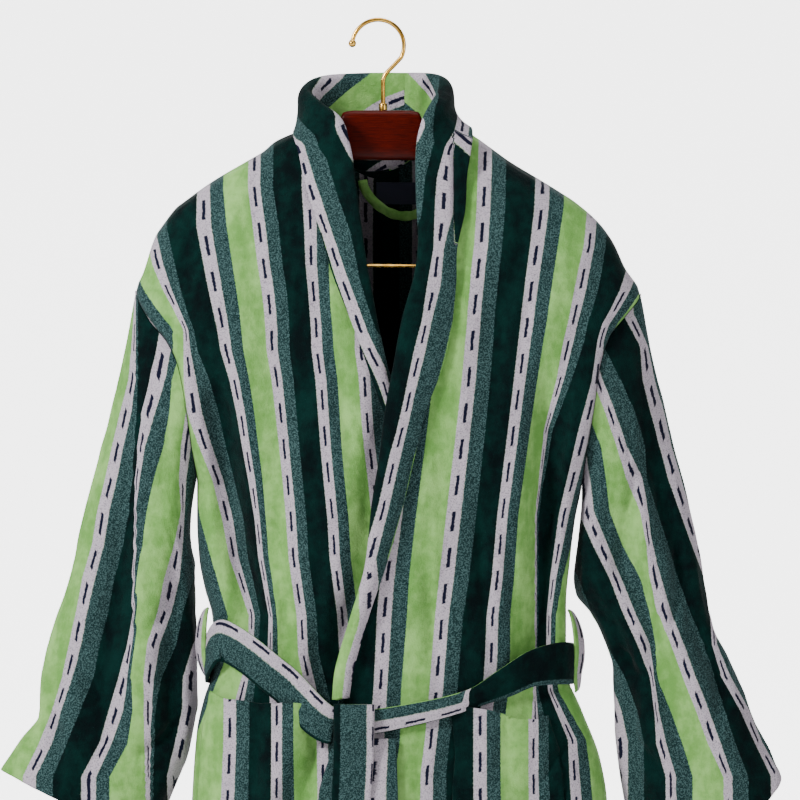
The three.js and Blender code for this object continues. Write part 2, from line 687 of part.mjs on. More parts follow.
function backGrid(columns) {
  const points = [];
  for (let i = 0; i <= columns; i += 1) {
    const share = 2 * i / columns - 1;
    const t = Math.sign(share) * mix(Math.abs(share), Math.sin(Math.abs(share) * Math.PI / 2), BACK_EASE);
    const side = t < 0 ? 'right' : 'left';
    const neck = side === 'right' ? NECK_RIGHT : NECK_LEFT;
    const xAt = (z) => t * panelReach(side, 'back', z);
    const across = xAt(neck.z);
    const atNeck = Math.abs(across) < Math.abs(neck.x);
    const top = atNeck ? necklineHeight(across) : shoulderHeight(side, xAt, neck.z);
    points.push(columnHeights(top).map((z) => new THREE.Vector3(xAt(z), backY(xAt(z), z), z)));
  }
  return points;
}

// A patch of a panel's own points, moved out by the seam's space and its own thickness
function patchPoints(points, columns, rows, lift, sense) {
  const normals = gridNormals(points, false, sense);
  return points.slice(columns.first, columns.last + 1).map((column, i) => {
    const own = column.slice(rows.first, rows.last + 1);
    return own.map((p, j) => p.clone().addScaledVector(normals[columns.first + i][rows.first + j], lift));
  });
}

const keepFront = (p) => new THREE.Vector3(p.x, Math.min(p.y, -HALF_SEAM), p.z);
const keepBack = (p) => new THREE.Vector3(p.x, Math.max(p.y, HALF_SEAM), p.z);

// Solids of manifold-3d from a closed geometry, and back
function solidOf(geometry) {
  const position = geometry.getAttribute('position');
  const mesh = new wasm.Mesh({
    numProp: 3,
    vertProperties: new Float32Array(position.array),
    triVerts: new Uint32Array(geometry.getIndex().array),
  });
  mesh.merge();
  return new wasm.Manifold(mesh);
}

function geometryOf(solid) {
  const mesh = solid.getMesh();
  const geometry = new THREE.BufferGeometry();
  geometry.setAttribute('position', new THREE.BufferAttribute(new Float32Array(mesh.vertProperties), 3));
  geometry.setIndex(new THREE.BufferAttribute(new Uint32Array(mesh.triVerts), 1));
  return geometry;
}

// A piece with its neighbours' room cut out of it; crumbs that the cut leaves are dropped
function carve(geometry, cutters) {
  let solid = solidOf(geometry);
  for (const cutter of cutters) solid = solid.subtract(solidOf(cutter));
  const pieces = solid.decompose().sort((a, b) => b.volume() - a.volume());
  return geometryOf(pieces[0].simplify(0.001));
}

// Fronts, back and pockets
const SENSE = { right: 1, left: -1, back: 1 };
const frontPoints = {
  right: frontGrid('right', PANEL_COLUMNS.front),
  left: frontGrid('left', PANEL_COLUMNS.front),
};
const backPoints = backGrid(PANEL_COLUMNS.back);
const pocketColumns = { right: RIGHT_POCKET_COLUMNS, left: LEFT_POCKET_COLUMNS };
for (const side of ['right', 'left']) {
  const points = frontPoints[side];
  const sense = SENSE[side];
  const patch = patchPoints(points, pocketColumns[side], POCKET_ROWS, SEAM_GAP + VELOUR, sense);
  addPiece(`front_${side}`, wall(points, VELOUR, { keep: keepFront, sense }), BOTTLE_GREEN, 0.85);
  addPiece(`pocket_${side}`, wall(patch, VELOUR, { sense }), APPLE_GREEN, 0.85);
}
addPiece('back', wall(backPoints, VELOUR, { keep: keepBack }), BOTTLE_GREEN, 0.85);

// The room that a wall needs, with the seam's space on both faces
const roomOf = (points, sense) => wall(extended(points), VELOUR + 2 * ROOM, { lift: ROOM, sense });
const panelRoom = [
  roomOf(frontPoints.right, SENSE.right),
  roomOf(frontPoints.left, SENSE.left),
  roomOf(backPoints, SENSE.back),
];

// One ring of a sleeve: the armhole's own curve at the body, and an oval further down
function sleeveRing(side, stations, folds, index) {
  const sign = side === 'right' ? -1 : 1;
  const station = stations[index];
  const hole = ARMHOLES[side];
  const blend = smoothstep(index / 2.5);
  const middle = { x: (station.out_x + station.in_x) / 2, z: (station.out_z + station.in_z) / 2 };
  const half = { x: (station.out_x - station.in_x) / 2, z: (station.out_z - station.in_z) / 2 };
  const ring = [];
  for (let k = 0; k < SLEEVE_AROUND; k += 1) {
    const angle = 2 * Math.PI * k / SLEEVE_AROUND;
    const across = Math.cos(angle);
    const face = Math.sin(angle) >= 0 ? 'front' : 'back';
    const trough = sleeveFold(folds, index, angle);
    const full = 1 - trough / (Math.hypot(half.x, half.z) * 1.4);
    const hang = station.droop * Math.max(Math.sin(angle), 0);
    const oval = new THREE.Vector3(
      middle.x + half.x * across * full + sign * DROOP_OUT * hang,
      station.back - station.deep * Math.sin(angle) * (1 - trough / station.deep),
      middle.z + half.z * across * full - hang,
    );
    const z = mix(hole.under, hole.tip, (1 + across) / 2);
    const out = face === 'front' ? -1 : 1;
    const seam = new THREE.Vector3(
      sign * (halfWidth[side][face](z) + SLEEVE_SEAM),
      out * armholeDepth(side, face, z),
      z - SEAM_GAP,
    );
    ring.push(seam.lerp(oval, blend));
  }
  return ring;
}

function sleeveFold(folds, index, angle) {
  let total = 0;
  for (const fold of folds) {
    const along = (index - fold.first) / (fold.last - fold.first);
    if (along <= 0 || along >= 1) continue;
    const centre = radians(mix(fold.angle_top, fold.angle_foot, along));
    const turn = Math.atan2(Math.sin(angle - centre), Math.cos(angle - centre));
    const away = turn / radians(fold.width);
    total += fold.depth * smoothstep(Math.min(1, 3 * along, 3 * (1 - along))) * Math.exp(-away * away);
  }
  return total;
}

function sleeveGrid(side, stations, folds) {
  const rings = stations.map((_, index) => sleeveRing(side, stations, folds, index));
  return rings[0].map((_, k) => rings.map((ring) => ring[k]));
}

const rightSleeve = sleeveGrid('right', RIGHT_SLEEVE, RIGHT_SLEEVE_FOLDS);
const leftSleeve = sleeveGrid('left', LEFT_SLEEVE, LEFT_SLEEVE_FOLDS);
const rightSleeveWall = wall(rightSleeve, VELOUR, { closed: true, sense: -1 });
const leftSleeveWall = wall(leftSleeve, VELOUR, { closed: true });
addPiece('sleeve_right', carve(rightSleeveWall, panelRoom), APPLE_GREEN, 0.85);
addPiece('sleeve_left', carve(leftSleeveWall, panelRoom), BOTTLE_GREEN, 0.85);

// A point of the fall, that drops steeply from the roll and spreads towards its edge
function fallPoint(over, fall, spread, drop) {
  const point = over.clone().lerp(fall, spread);
  point.z = mix(over.z, fall.z, drop);
  return point;
}

// Middle line of the collar's section at the neck: up the stand, over the roll and down the fall
function neckSection(row, side, shift) {
  const out = new THREE.Vector3(Math.cos(radians(row.facing)), Math.sin(radians(row.facing)), 0);
  const seam = new THREE.Vector3();
  if (row.seam === 'back') {
    const z = necklineHeight(row.at);
    seam.set(row.at, Math.max(backY(row.at, z) - VELOUR / 2, 0), z + COLLAR_SEAM_RISE);
  } else {
    const x = frontEdge[side](row.at);
    seam.set(x, frontY(x, row.at) - DOUBLED / 2 - SEAM_GAP, row.at);
  }
  const roll = new THREE.Vector3(row.roll_x, row.roll_y, row.roll_z);
  const fall = new THREE.Vector3(row.fall_x, row.fall_y, row.fall_z);
  const up = roll.clone().sub(seam.clone().lerp(fall, 0.5)).normalize();
  const under = roll.clone().addScaledVector(out, -row.gap / 2);
  const over = roll.clone().addScaledVector(out, row.gap / 2);
  const crown = roll.clone().addScaledVector(up, row.gap / 2);
  const line = [
    seam,
    seam.clone().lerp(under, 0.5),
    under,
    crown,
    over,
    fallPoint(over, fall, 0.14, 0.4),
    fallPoint(over, fall, 0.52, 0.75),
    fall,
  ];
  line.forEach((point) => { point.x += shift; });
  return line;
}

// Middle line of its section on a front: the under layer on the cloth, the roll, and the fall over it
function lapelSection(row, side) {
  const sign = side === 'right' ? -1 : 1;
  const lap = (x, z) => (side === 'right' ? underlap(x, z) : 0);
  const rest = DOUBLED / 2 + SEAM_GAP;
  const at = (x, z, above) => new THREE.Vector3(x, frontY(x, z) + lap(x, z) - rest - above, z);
  const width = Math.abs(row.fall_x - row.roll_x);
  const toSeam = Math.abs(frontEdge[side](row.roll_z) - row.roll_x) + LAPEL_SEAM_INSET;
  const seam_x = row.roll_x + sign * Math.min(toSeam, 0.45 * width);
  const near = row.roll_x + sign * LAPEL_ROLL;
  const along = (share) => mix(row.roll_x, row.fall_x, share);
  const down = (share) => mix(row.roll_z, row.fall_z, share);
  return [
    at(seam_x, row.roll_z, 0),
    at((seam_x + near) / 2, row.roll_z, 0),
    at(near, row.roll_z, 0),
    at(row.roll_x, row.roll_z, LAPEL_ROLL),
    at(near, row.roll_z, 2 * LAPEL_ROLL),
    at(along(0.45), down(0.45), 2 * LAPEL_ROLL),
    at(along(0.75), down(0.75), 1.2 * LAPEL_ROLL),
    at(row.fall_x, row.fall_z, 0),
  ];
}

function collarGrid(side, neckRows, lapelRows) {
  const shift = side === 'right' ? -HALF_SEAM : HALF_SEAM;
  const sections = neckRows.map((row, index) => neckSection(row, side, index === 0 ? shift : 0));
  return sections.concat(lapelRows.map((row) => lapelSection(row, side)));
}

const rightCollar = collarGrid('right', RIGHT_COLLAR, RIGHT_LAPEL);
const leftCollar = collarGrid('left', LEFT_COLLAR, LEFT_LAPEL);
const atBack = (p) => p.y > NECK_BACK_Y;
const keepRight = (p) => (atBack(p) ? p.setX(Math.min(p.x, COLLAR_SEAM_X - HALF_SEAM)) : p);
const keepLeft = (p) => (atBack(p) ? p.setX(Math.max(p.x, COLLAR_SEAM_X + HALF_SEAM)) : p);
const leftLapel = leftCollar.slice(LEFT_COLLAR.length);
const leftLapelRoom = wall(leftLapel, DOUBLED + 2 * ROOM, { lift: DOUBLED / 2 + ROOM });
const leftCollarWall = wall(leftCollar, DOUBLED, { lift: DOUBLED / 2, keep: keepLeft });
addPiece('collar_left', carve(leftCollarWall, panelRoom), HEATHER_TEAL, 0.85);
const rightCollarWall = wall(rightCollar, DOUBLED, { lift: DOUBLED / 2, keep: keepRight });
addPiece('collar_right', carve(rightCollarWall, [...panelRoom, leftLapelRoom]), HEATHER_TEAL, 0.85);

// Belt round the waist: from the knot by the wearer's right side and the back to the knot again
const beltFront = { z: tableCurve(BELT_FRONT, 'x', 'z'), width: tableCurve(BELT_FRONT, 'x', 'width') };

function beltPoint(angle, out, share) {
  const side = Math.cos(angle) < 0 ? 'right' : 'left';
  const face = Math.sin(angle) < 0 ? 'front' : 'back';
  const away = face === 'front' ? Math.abs(Math.sin(angle)) : 0;
  const reach = halfWidth[side].front(BELT_BACK.z) + out;
  const across = Math.abs(Math.cos(angle)) ** (2 / SECTION_POWER);
  const x = Math.sign(Math.cos(angle)) * reach * across;
  const toFront = smoothstep(away / 0.5);
  const centre = mix(BELT_BACK.z, beltFront.z(x), toFront);
  const width = mix(BELT_BACK.width, beltFront.width(x), toFront);
  const z = centre + width * (0.5 - share);
  const stand = (depth[face](z) + out) * Math.abs(Math.sin(angle)) ** (2 / SECTION_POWER);
  return new THREE.Vector3(x, face === 'front' ? -stand : stand, z);
}

function beltAngle(x) {
  const reach = halfWidth[x < 0 ? 'right' : 'left'].front(BELT_BACK.z) + BELT_OUT;
  return Math.asin((Math.abs(x) / reach) ** (SECTION_POWER / 2));
}

const beltStart = -Math.PI / 2 - beltAngle(BELT_ENDS.right);
const beltEnd = -5 * Math.PI / 2 - beltAngle(BELT_ENDS.left);
const beltPoints = [];
for (let k = 0; k <= BELT_STEPS; k += 1) {
  const angle = mix(beltStart, beltEnd, k / BELT_STEPS);
  beltPoints.push([0, 0.5, 1].map((share) => beltPoint(angle, BELT_OUT, share)));
}
const pocketRoom = ['right', 'left'].map((side) => wall(
  patchPoints(frontPoints[side], pocketColumns[side], POCKET_ROWS, 2 * SEAM_GAP + VELOUR, SENSE[side]),
  VELOUR,
  { sense: SENSE[side] },
));
const beltRoom = wall(extended(beltPoints), DOUBLED + 2 * ROOM, { lift: DOUBLED + ROOM });
const beltWall = wall(beltPoints, DOUBLED, { lift: DOUBLED });
addPiece('belt', carve(beltWall, [...panelRoom, ...pocketRoom]), HEATHER_TEAL, 0.85);

// A tail of the belt hangs flat over the left front
function tailGrid(rows) {
  const columns = ['z', 'x', 'width', 'out'].map((key) => tableCurve(rows, 'z', key));
  const top = rows[0].z;
  const foot = rows[rows.length - 1].z;
  const points = [];
  for (const share of [-0.5, 0, 0.5]) {
    const column = [];
    for (let j = 0; j <= TAIL_STEPS; j += 1) {
      const z = mix(top, foot, j / TAIL_STEPS);
      const x = columns[1](z) + share * columns[2](z);
      column.push(new THREE.Vector3(x, -hullDepth('front', x, z) - columns[3](z), z));
    }
    points.push(column);
  }
  return points;
}

addPiece('belt_tail_front', wall(tailGrid(FRONT_TAIL), DOUBLED, { sense: -1 }), HEATHER_TEAL, 0.85);
addPiece('belt_tail_rear', wall(tailGrid(REAR_TAIL), DOUBLED, { sense: -1 }), BOTTLE_GREEN, 0.85);

// A loop of the side seam that the belt runs through
function loopGrid(side) {
  const sign = side === 'right' ? -1 : 1;
  const { top, foot } = BELT_LOOPS[side];
  const points = [];
  for (const share of [-0.5, 0, 0.5]) {
    const column = [];
    for (let j = 0; j <= LOOP_STEPS; j += 1) {
      const z = mix(top, foot, j / LOOP_STEPS);
      const bulge = Math.sin(Math.PI * j / LOOP_STEPS) ** LOOP_EASE;
      const stand = mix(SEAM_GAP, BELT_OUT + DOUBLED + LOOP_SLACK, bulge) + LOOP_CLOTH;
      const turn = radians(LOOP_TURN) * bulge;
      const x = halfWidth[side].front(z) + stand + share * LOOP_WIDTH * Math.sin(turn);
      const y = share * LOOP_WIDTH * Math.cos(turn) + LOOP_FORWARD * bulge;
      column.push(new THREE.Vector3(sign * x, y, z));
    }
    points.push(column);
  }
  return points;
}

const softened = (value) => Math.sign(value) * Math.abs(value) ** HANGER_SQUARE;

// The hanger's arms: softly square sections along its length
function hangerGeometry() {
  const sections = [];
  const rightArm = HANGER_PROFILE.slice(1).reverse().map((row) => [row, -1]);
  const leftArm = HANGER_PROFILE.map((row) => [row, 1]);
  for (const [row, sign] of [...rightArm, ...leftArm]) {
    const ring = [];
    for (let k = 0; k < HANGER_AROUND; k += 1) {
      const angle = 2 * Math.PI * (k + 0.5) / HANGER_AROUND;
      const half = (row.top - row.foot) / 2;
      const y = row.half * softened(Math.cos(angle));
      const z = (row.top + row.foot) / 2 + half * softened(Math.sin(angle));
      ring.push(new THREE.Vector3(sign * row.reach + HANGER_MIDDLE, y, z));
    }
    sections.push(ring);
  }
  return lofted(sections);
}

// A closed solid through rings of points, with a fan at each end
function lofted(sections) {
  const around = sections[0].length;
  const positions = sections.flatMap((ring) => ring.flatMap((p) => [p.x, p.y, p.z]));
  const faces = [];
  for (let i = 0; i < sections.length - 1; i += 1) {
    for (let k = 0; k < around; k += 1) {
      const a = i * around + k;
      const b = i * around + (k + 1) % around;
      faces.push(a, b, b + around, a, b + around, a + around);
    }
  }
  const last = (sections.length - 1) * around;
  for (let k = 1; k < around - 1; k += 1) {
    faces.push(0, k + 1, k);
    faces.push(last, last + k, last + k + 1);
  }
  return shellGeometry(positions, faces);
}

// A geometry with its positions alone
function bare(geometry) {
  geometry.deleteAttribute('normal');
  geometry.deleteAttribute('uv');
  return geometry;
}

// A round rod along a smooth curve
function rod(points, radius, sides, steps) {
  const places = points.map(([x, y, z]) => new THREE.Vector3(x, y, z));
  const curve = new THREE.CatmullRomCurve3(places, false, 'centripetal');
  const outline = new THREE.Shape();
  outline.absarc(0, 0, radius, 0, 2 * Math.PI);
  const settings = { steps, curveSegments: sides / 2, extrudePath: curve };
  const geometry = new THREE.ExtrudeGeometry(outline, settings);
  return mergeVertices(bare(geometry), 1e-3);
}

const joined = (...geometries) => geometryOf(
  geometries.map(solidOf).reduce((whole, next) => whole.add(next)),
);

// The hook: a stem, the crown's round and a ball at its free end
const crown = (degrees) => [
  HOOK_CROWN.x + HOOK_CROWN.radius * Math.cos(radians(degrees)),
  0,
  HOOK_CROWN.z + HOOK_CROWN.radius * Math.sin(radians(degrees)),
];
const hookPath = [
  [HOOK_STEM_X, 0, FERRULE.foot + 2],
  [HOOK_STEM_X, 0, -70],
  [HOOK_STEM_X + 1.5, 0, -56],
  [HOOK_STEM_X + 8, 0, -42],
  [HOOK_STEM_X + 16, 0, -32],
  ...[10, 35, 60, 90, 120, 150, 175].map(crown),
];
const hookWire = rod(hookPath, HOOK_WIRE, 8, 36);
const tip = hookPath[hookPath.length - 1];
const ball = mergeVertices(bare(new THREE.SphereGeometry(HOOK_TIP_BALL, 10, 7)), 1e-3);
ball.translate(tip[0], tip[1], tip[2]);
const ferruleHeight = FERRULE.top - FERRULE.foot;
const ferruleShape = new THREE.CylinderGeometry(FERRULE.radius, FERRULE.radius, ferruleHeight, 12);
const ferrule = mergeVertices(bare(ferruleShape), 1e-3);
ferrule.rotateX(Math.PI / 2);
ferrule.translate(HOOK_STEM_X, 0, (FERRULE.top + FERRULE.foot) / 2);
addPiece('hanger_hook', joined(hookWire, ball, ferrule), BRASS, 0.25, 1);
addPiece('hanger_arms', carve(hangerGeometry(), panelRoom), MAHOGANY, 0.3);

// The bar hangs from the arms at its two ends and bends round its lower corners
const barHalf = [
  [BAR_REACH, 0, BAR_ENDS_TOP],
  [BAR_REACH, 0, BAR_ENDS_TOP - BAR_BEND],
  [BAR_REACH - BAR_BEND / 4, 0, BAR_HEIGHT + BAR_BEND / 4],
  [BAR_REACH - BAR_BEND, 0, BAR_HEIGHT],
];
const barPath = [
  ...barHalf.map(([x, y, z]) => [-x, y, z]),
  [0, 0, BAR_HEIGHT],
  ...barHalf.reverse(),
];
addPiece('hanger_bar', rod(barPath, BAR_WIRE, 6, 24), BRASS, 0.3, 1);

for (const side of ['right', 'left']) {
  const strap = wall(loopGrid(side), LOOP_CLOTH, { sense: side === 'right' ? 1 : -1 });
  addPiece(`belt_loop_${side}`, carve(strap, [...panelRoom, beltRoom]), LILAC_GREY, 0.85);
}

// The plain label lies on the inside of the back; the hang loop is sewn above it and bends forward over it
function labelGrid() {
  const points = [];
  for (let i = 0; i <= LABEL.columns; i += 1) {
    const x = mix(LABEL.x - LABEL.half, LABEL.x + LABEL.half, i / LABEL.columns);
    const column = [];
    for (let j = 0; j <= LABEL.rows; j += 1) {
      const z = mix(LABEL.top, LABEL.foot, j / LABEL.rows);
      column.push(new THREE.Vector3(x, backY(x, z) - VELOUR - LABEL.off - LABEL.thick, z));
    }
    points.push(column);
  }
  return points;
}

const hangPath = [];
for (let k = 0; k <= HANG_LOOP.steps; k += 1) {
  const share = k / HANG_LOOP.steps;
  const x = HANG_LOOP.x + HANG_LOOP.half * (2 * share - 1);
  const z = HANG_LOOP.top - HANG_LOOP.drop * Math.sin(Math.PI * share) ** 0.6;
  const swing = HANG_LOOP.forward * Math.sin(Math.PI * share);
  const forward = VELOUR + HANG_LOOP.off + HANG_LOOP.thick / 2 + swing;
  hangPath.push([x, backY(x, z) - forward, z]);
}
addPiece('hang_loop', rod(hangPath, HANG_LOOP.thick / 2, 8, 14), APPLE_GREEN, 0.85);
addPiece('neck_label', wall(labelGrid(), LABEL.thick, { sense: -1 }), NAVY, 0.7);

export default robe;
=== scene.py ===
import math

import bpy
import numpy as np
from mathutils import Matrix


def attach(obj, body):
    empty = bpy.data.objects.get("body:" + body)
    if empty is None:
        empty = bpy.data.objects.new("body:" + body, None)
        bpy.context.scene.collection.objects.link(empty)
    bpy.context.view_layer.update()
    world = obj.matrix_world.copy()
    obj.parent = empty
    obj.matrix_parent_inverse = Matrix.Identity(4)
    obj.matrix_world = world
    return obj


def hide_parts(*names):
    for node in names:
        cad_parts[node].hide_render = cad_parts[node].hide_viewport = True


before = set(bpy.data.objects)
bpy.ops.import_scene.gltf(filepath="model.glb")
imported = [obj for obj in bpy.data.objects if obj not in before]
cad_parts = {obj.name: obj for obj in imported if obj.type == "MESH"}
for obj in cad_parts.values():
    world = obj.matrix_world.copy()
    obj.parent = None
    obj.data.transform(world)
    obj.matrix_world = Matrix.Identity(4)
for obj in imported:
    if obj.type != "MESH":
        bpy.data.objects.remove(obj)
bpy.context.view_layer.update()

bl_info = {
    "name": "Striped bathrobe",
    "version": (1, 0, 0),
    "blender": (4, 5, 0),
    "location": "View3D > Sidebar > Robe",
    "description": "Builds a striped velour bathrobe on a wooden hanger, its materials and its studio",
    "category": "Add Mesh",
}

# Shapes are worked out in millimetres and placed in metres
MM = 0.001

HEM = -1330.0
SIGN = {"right": -1, "left": 1}
NECK = {"right": (-64.0, -103.0), "left": (65.0, -96.0)}
BACK_NECK_DROP = 53.0
SECTION_POWER = 2.3
ARMHOLE_POWER = 0.7
ARMHOLES = {
    "right": {"tip": -270.0, "under": -462.0, "front": 40.0, "back": 36.0},
    "left": {"tip": -273.0, "under": -470.0, "front": 40.0, "back": 36.0},
}
VELOUR = 2.6
DOUBLED = 4.6
SEAM_GAP = 0.3
UNDERLAP = {"depth": 15.0, "before": 46.0, "over": 34.0, "top": -285.0, "fade": 70.0}
FOLD_MARGIN = 0.12
HALF_SEAM = 0.15

# Unevenness of the hanging cloth: how its waves follow each other, and each part's longest wave and height
WAVES = {"count": 5, "shorter": 1.5, "turn": 0.5, "down": 0.45, "sway": 1.4, "sway_length": 4.1, "sum": 2.2}
FRONT_WAVES = {"seed": 11, "size": 62.0, "height": 1.9}
BACK_WAVES = {"seed": 23, "size": 70.0, "height": 1.9}
BACK_WAVES_FROM = {"z": -150.0, "over": 60.0}
PANEL_SLACK = 1.2
# The back: how its columns crowd to the sides, how many there are for each of a front, its middle
BACK = {"crowd": 0.3, "columns": 1.5, "middle": 20.0}


def table(columns, rows):
    """A table of numbers with named columns."""
    data = np.array(rows, float)
    return {name: data[:, i] for i, name in enumerate(columns.split())}


RIGHT_SIDE = table("z half", [
    (-103, 64), (-120, 105), (-130, 117), (-140, 134), (-160, 168), (-180, 196), (-187, 205),
    (-201, 216), (-216, 226), (-252, 238), (-270, 245), (-300, 231), (-322, 213), (-345, 202),
    (-380, 195), (-430, 188), (-462, 184), (-499, 184), (-537, 182), (-570, 176), (-595, 169),
    (-620, 167), (-650, 168), (-680, 177), (-711, 184), (-780, 189), (-900, 194), (-1100, 204),
    (-1330, 214),
])
LEFT_SIDE = table("z half", [
    (-96, 65), (-117, 98), (-130, 116), (-140, 130), (-160, 163), (-173, 184), (-181, 196),
    (-198, 216), (-208, 225), (-223, 235), (-247, 246), (-273, 261), (-297, 245), (-316, 230),
    (-350, 219), (-380, 215), (-430, 207), (-470, 202), (-500, 196), (-540, 191), (-587, 187),
    (-650, 187), (-690, 202), (-740, 221), (-780, 228), (-900, 234), (-1100, 242), (-1330, 250),
])
DEPTHS = table("z front back", [
    (-96, 14, 16), (-120, 27, 30), (-150, 39, 44), (-200, 51, 52), (-270, 60, 56), (-350, 66, 58),
    (-450, 70, 58), (-560, 66, 54), (-620, 60, 50), (-660, 60, 50), (-720, 68, 58), (-850, 82, 74),
    (-1100, 96, 90), (-1330, 102, 96),
])
RIGHT_EDGE = table("z x", [
    (-103, -64), (-120, -56), (-138, -46), (-180, -40), (-220, -35), (-265, -29), (-290, -22),
    (-321, -16), (-363, -4), (-420, 22), (-500, 52), (-600, 76), (-700, 88), (-1330, 96),
])
LEFT_EDGE = table("z x", [
    (-96, 65), (-112, 60), (-130, 56), (-187, 55), (-241, 56), (-264, 49), (-302, 39), (-347, 31),
    (-370, 26), (-412, 20), (-440, 16), (-480, 9), (-557, -3), (-600, -20), (-643, -34), (-683, -42),
    (-722, -47), (-780, -62), (-1330, -70),
])

# Long folds, then the finer creases that start at the armholes, the collar and the belt
FOLDS = "x_top x_foot top foot width depth"
FRONT_FOLDS = table(FOLDS, [
    (166, 155, -310, -730, 17, 24), (118, 92, -230, -650, 26, 7), (70, 55, -330, -660, 20, 5),
    (-166, -127, -330, -640, 15, 22), (-108, -100, -220, -650, 24, 7), (-72, -20, -235, -470, 9, 3),
    (150, 168, -690, -1500, 24, 26), (78, 92, -670, -1500, 26, 22), (12, 18, -740, -1500, 26, 16),
    (-92, -100, -700, -1500, 25, 24), (-142, -160, -690, -1500, 20, 20),
    (196, 168, -285, -520, 11, 5), (150, 128, -250, -470, 9, 3), (208, 150, -420, -560, 8, 4),
    (96, 112, -470, -668, 7, 4), (128, 140, -500, -665, 7, 4), (44, 60, -520, -690, 7, 4),
    (14, 24, -560, -700, 6, 3), (-30, -42, -560, -705, 7, 4), (-62, -66, -520, -690, 7, 4),
    (-96, -94, -560, -670, 6, 4), (-140, -112, -500, -640, 7, 4), (-190, -158, -300, -500, 11, 5),
    (40, 34, -705, -850, 8, 4), (120, 128, -675, -800, 9, 4), (-60, -74, -700, -860, 8, 4),
    (-118, -124, -665, -820, 8, 4), (60, 54, -160, -300, 8, 2), (-118, -126, -150, -300, 10, 2),
    (196, 150, -700, -780, 8, 5), (176, 186, -740, -900, 9, 6), (-168, -176, -700, -900, 8, 5),
])
BACK_FOLDS = table(FOLDS, [
    (-150, -128, -290, -640, 20, 12), (-84, -70, -230, -640, 26, 9), (-6, 4, -250, -640, 28, 7),
    (76, 66, -230, -640, 26, 9), (158, 140, -290, -640, 20, 13), (-128, -150, -665, -1500, 24, 24),
    (-66, -78, -665, -1500, 26, 26), (6, 4, -665, -1500, 28, 24), (74, 90, -665, -1500, 26, 26),
    (136, 168, -665, -1500, 24, 24), (-40, -46, -500, -645, 8, 4), (34, 40, -480, -645, 8, 4),
    (104, 96, -520, -645, 8, 4), (-112, -100, -520, -645, 8, 4), (-24, -30, -650, -800, 9, 5),
    (44, 50, -650, -820, 9, 5), (112, 118, -650, -800, 9, 5), (-100, -112, -650, -790, 9, 5),
    (-196, -160, -300, -480, 10, 5), (200, 166, -300, -480, 10, 5), (-60, -90, -180, -330, 12, 3),
    (64, 94, -180, -330, 12, 3),
])

# Sleeves: the ends of each ring seen from the front, its depth, how far back it stands and its droop
SLEEVES = {
    "right": table("out_x out_z in_x in_z deep back droop", [
        (-245, -271, -186, -463, 38, 0, 0), (-252, -306, -190, -486, 43, 4, 0),
        (-260, -346, -191, -508, 46, 9, 0), (-268, -380, -190, -527, 47, 13, 0),
        (-279, -424, -187, -546, 47, 16, 0), (-291, -469, -187, -565, 46, 18, 0),
        (-303, -517, -186, -592, 45, 18, 0), (-314, -565, -185, -622, 44, 18, 0),
        (-328, -604, -184, -650, 44, 17, 0), (-338, -640, -184, -682, 43, 16, 0),
        (-343, -672, -187, -708, 42, 14, 0), (-344, -697, -193, -738, 41, 12, 0),
        (-361, -720, -207, -770, 41, 10, 0), (-381, -752, -230, -824, 41, 8, 0),
    ]),
    "left": table("out_x out_z in_x in_z deep back droop", [
        (261, -274, 204, -471, 38, 0, 0), (267, -303, 203, -494, 43, 4, 0),
        (274, -340, 200, -516, 46, 9, 0), (285, -380, 197, -536, 47, 13, 0),
        (296, -424, 195, -555, 46, 16, 0), (310, -482, 197, -574, 45, 18, 0),
        (321, -528, 213, -597, 45, 18, 0), (328, -570, 226, -624, 45, 17, 0),
        (335, -606, 234, -652, 45, 16, 0), (349, -637, 236, -682, 45, 14, 0),
        (366, -675, 237, -714, 44, 12, 0), (378, -706, 241, -750, 43, 11, 4),
        (390, -730, 248, -792, 42, 10, 11), (402, -755, 261, -841, 41, 8, 20),
    ]),
}
SLEEVE_FOLDS = "angle_top angle_foot first last width depth"
RINGS_FOLDED = {
    "right": table(SLEEVE_FOLDS, [
        (60, 92, 2, 14, 16, 15), (128, 142, 4, 12, 14, 11), (30, 44, 6, 15, 14, 6),
        (235, 250, 1, 12, 18, 12), (300, 310, 4, 15, 16, 8), (150, 96, 5, 8, 9, 6),
        (40, 88, 8, 10.5, 9, 6), (160, 100, 9.5, 12, 9, 7), (20, 70, 10.5, 12.6, 10, 7),
        (196, 230, 3, 8, 10, 6), (280, 262, 7, 12, 10, 6), (112, 60, 3, 6, 9, 4),
    ]),
    "left": table(SLEEVE_FOLDS, [
        (104, 96, 2, 13, 15, 14), (54, 40, 1, 11, 15, 10), (140, 150, 5, 14, 14, 9),
        (235, 250, 1, 12, 18, 12), (300, 310, 4, 15, 16, 8), (30, 84, 5, 8, 9, 6),
        (160, 104, 7, 9.6, 9, 7), (24, 70, 8.6, 11, 10, 6), (150, 90, 10, 12.4, 9, 6),
        (196, 230, 3, 8, 10, 6), (280, 262, 7, 12, 10, 6), (70, 120, 3, 6, 9, 5),
    ]),
}
SLEEVE = {"seam": 0.5, "droop_out": 0.55, "flatten": 1.4, "blend": 2.5}
SLEEVE_WAVES = {"around": 60.0, "along": 42.0, "size": 58.0, "height": 2.2}
SLEEVE_SEEDS = {"right": 31, "left": 47}
# Room between a sleeve and the body beside it
BESIDE = {"side": 1.0, "face": 3.0, "ring": 0.2, "grow": 1.06, "least": 0.2, "out": 1.2}

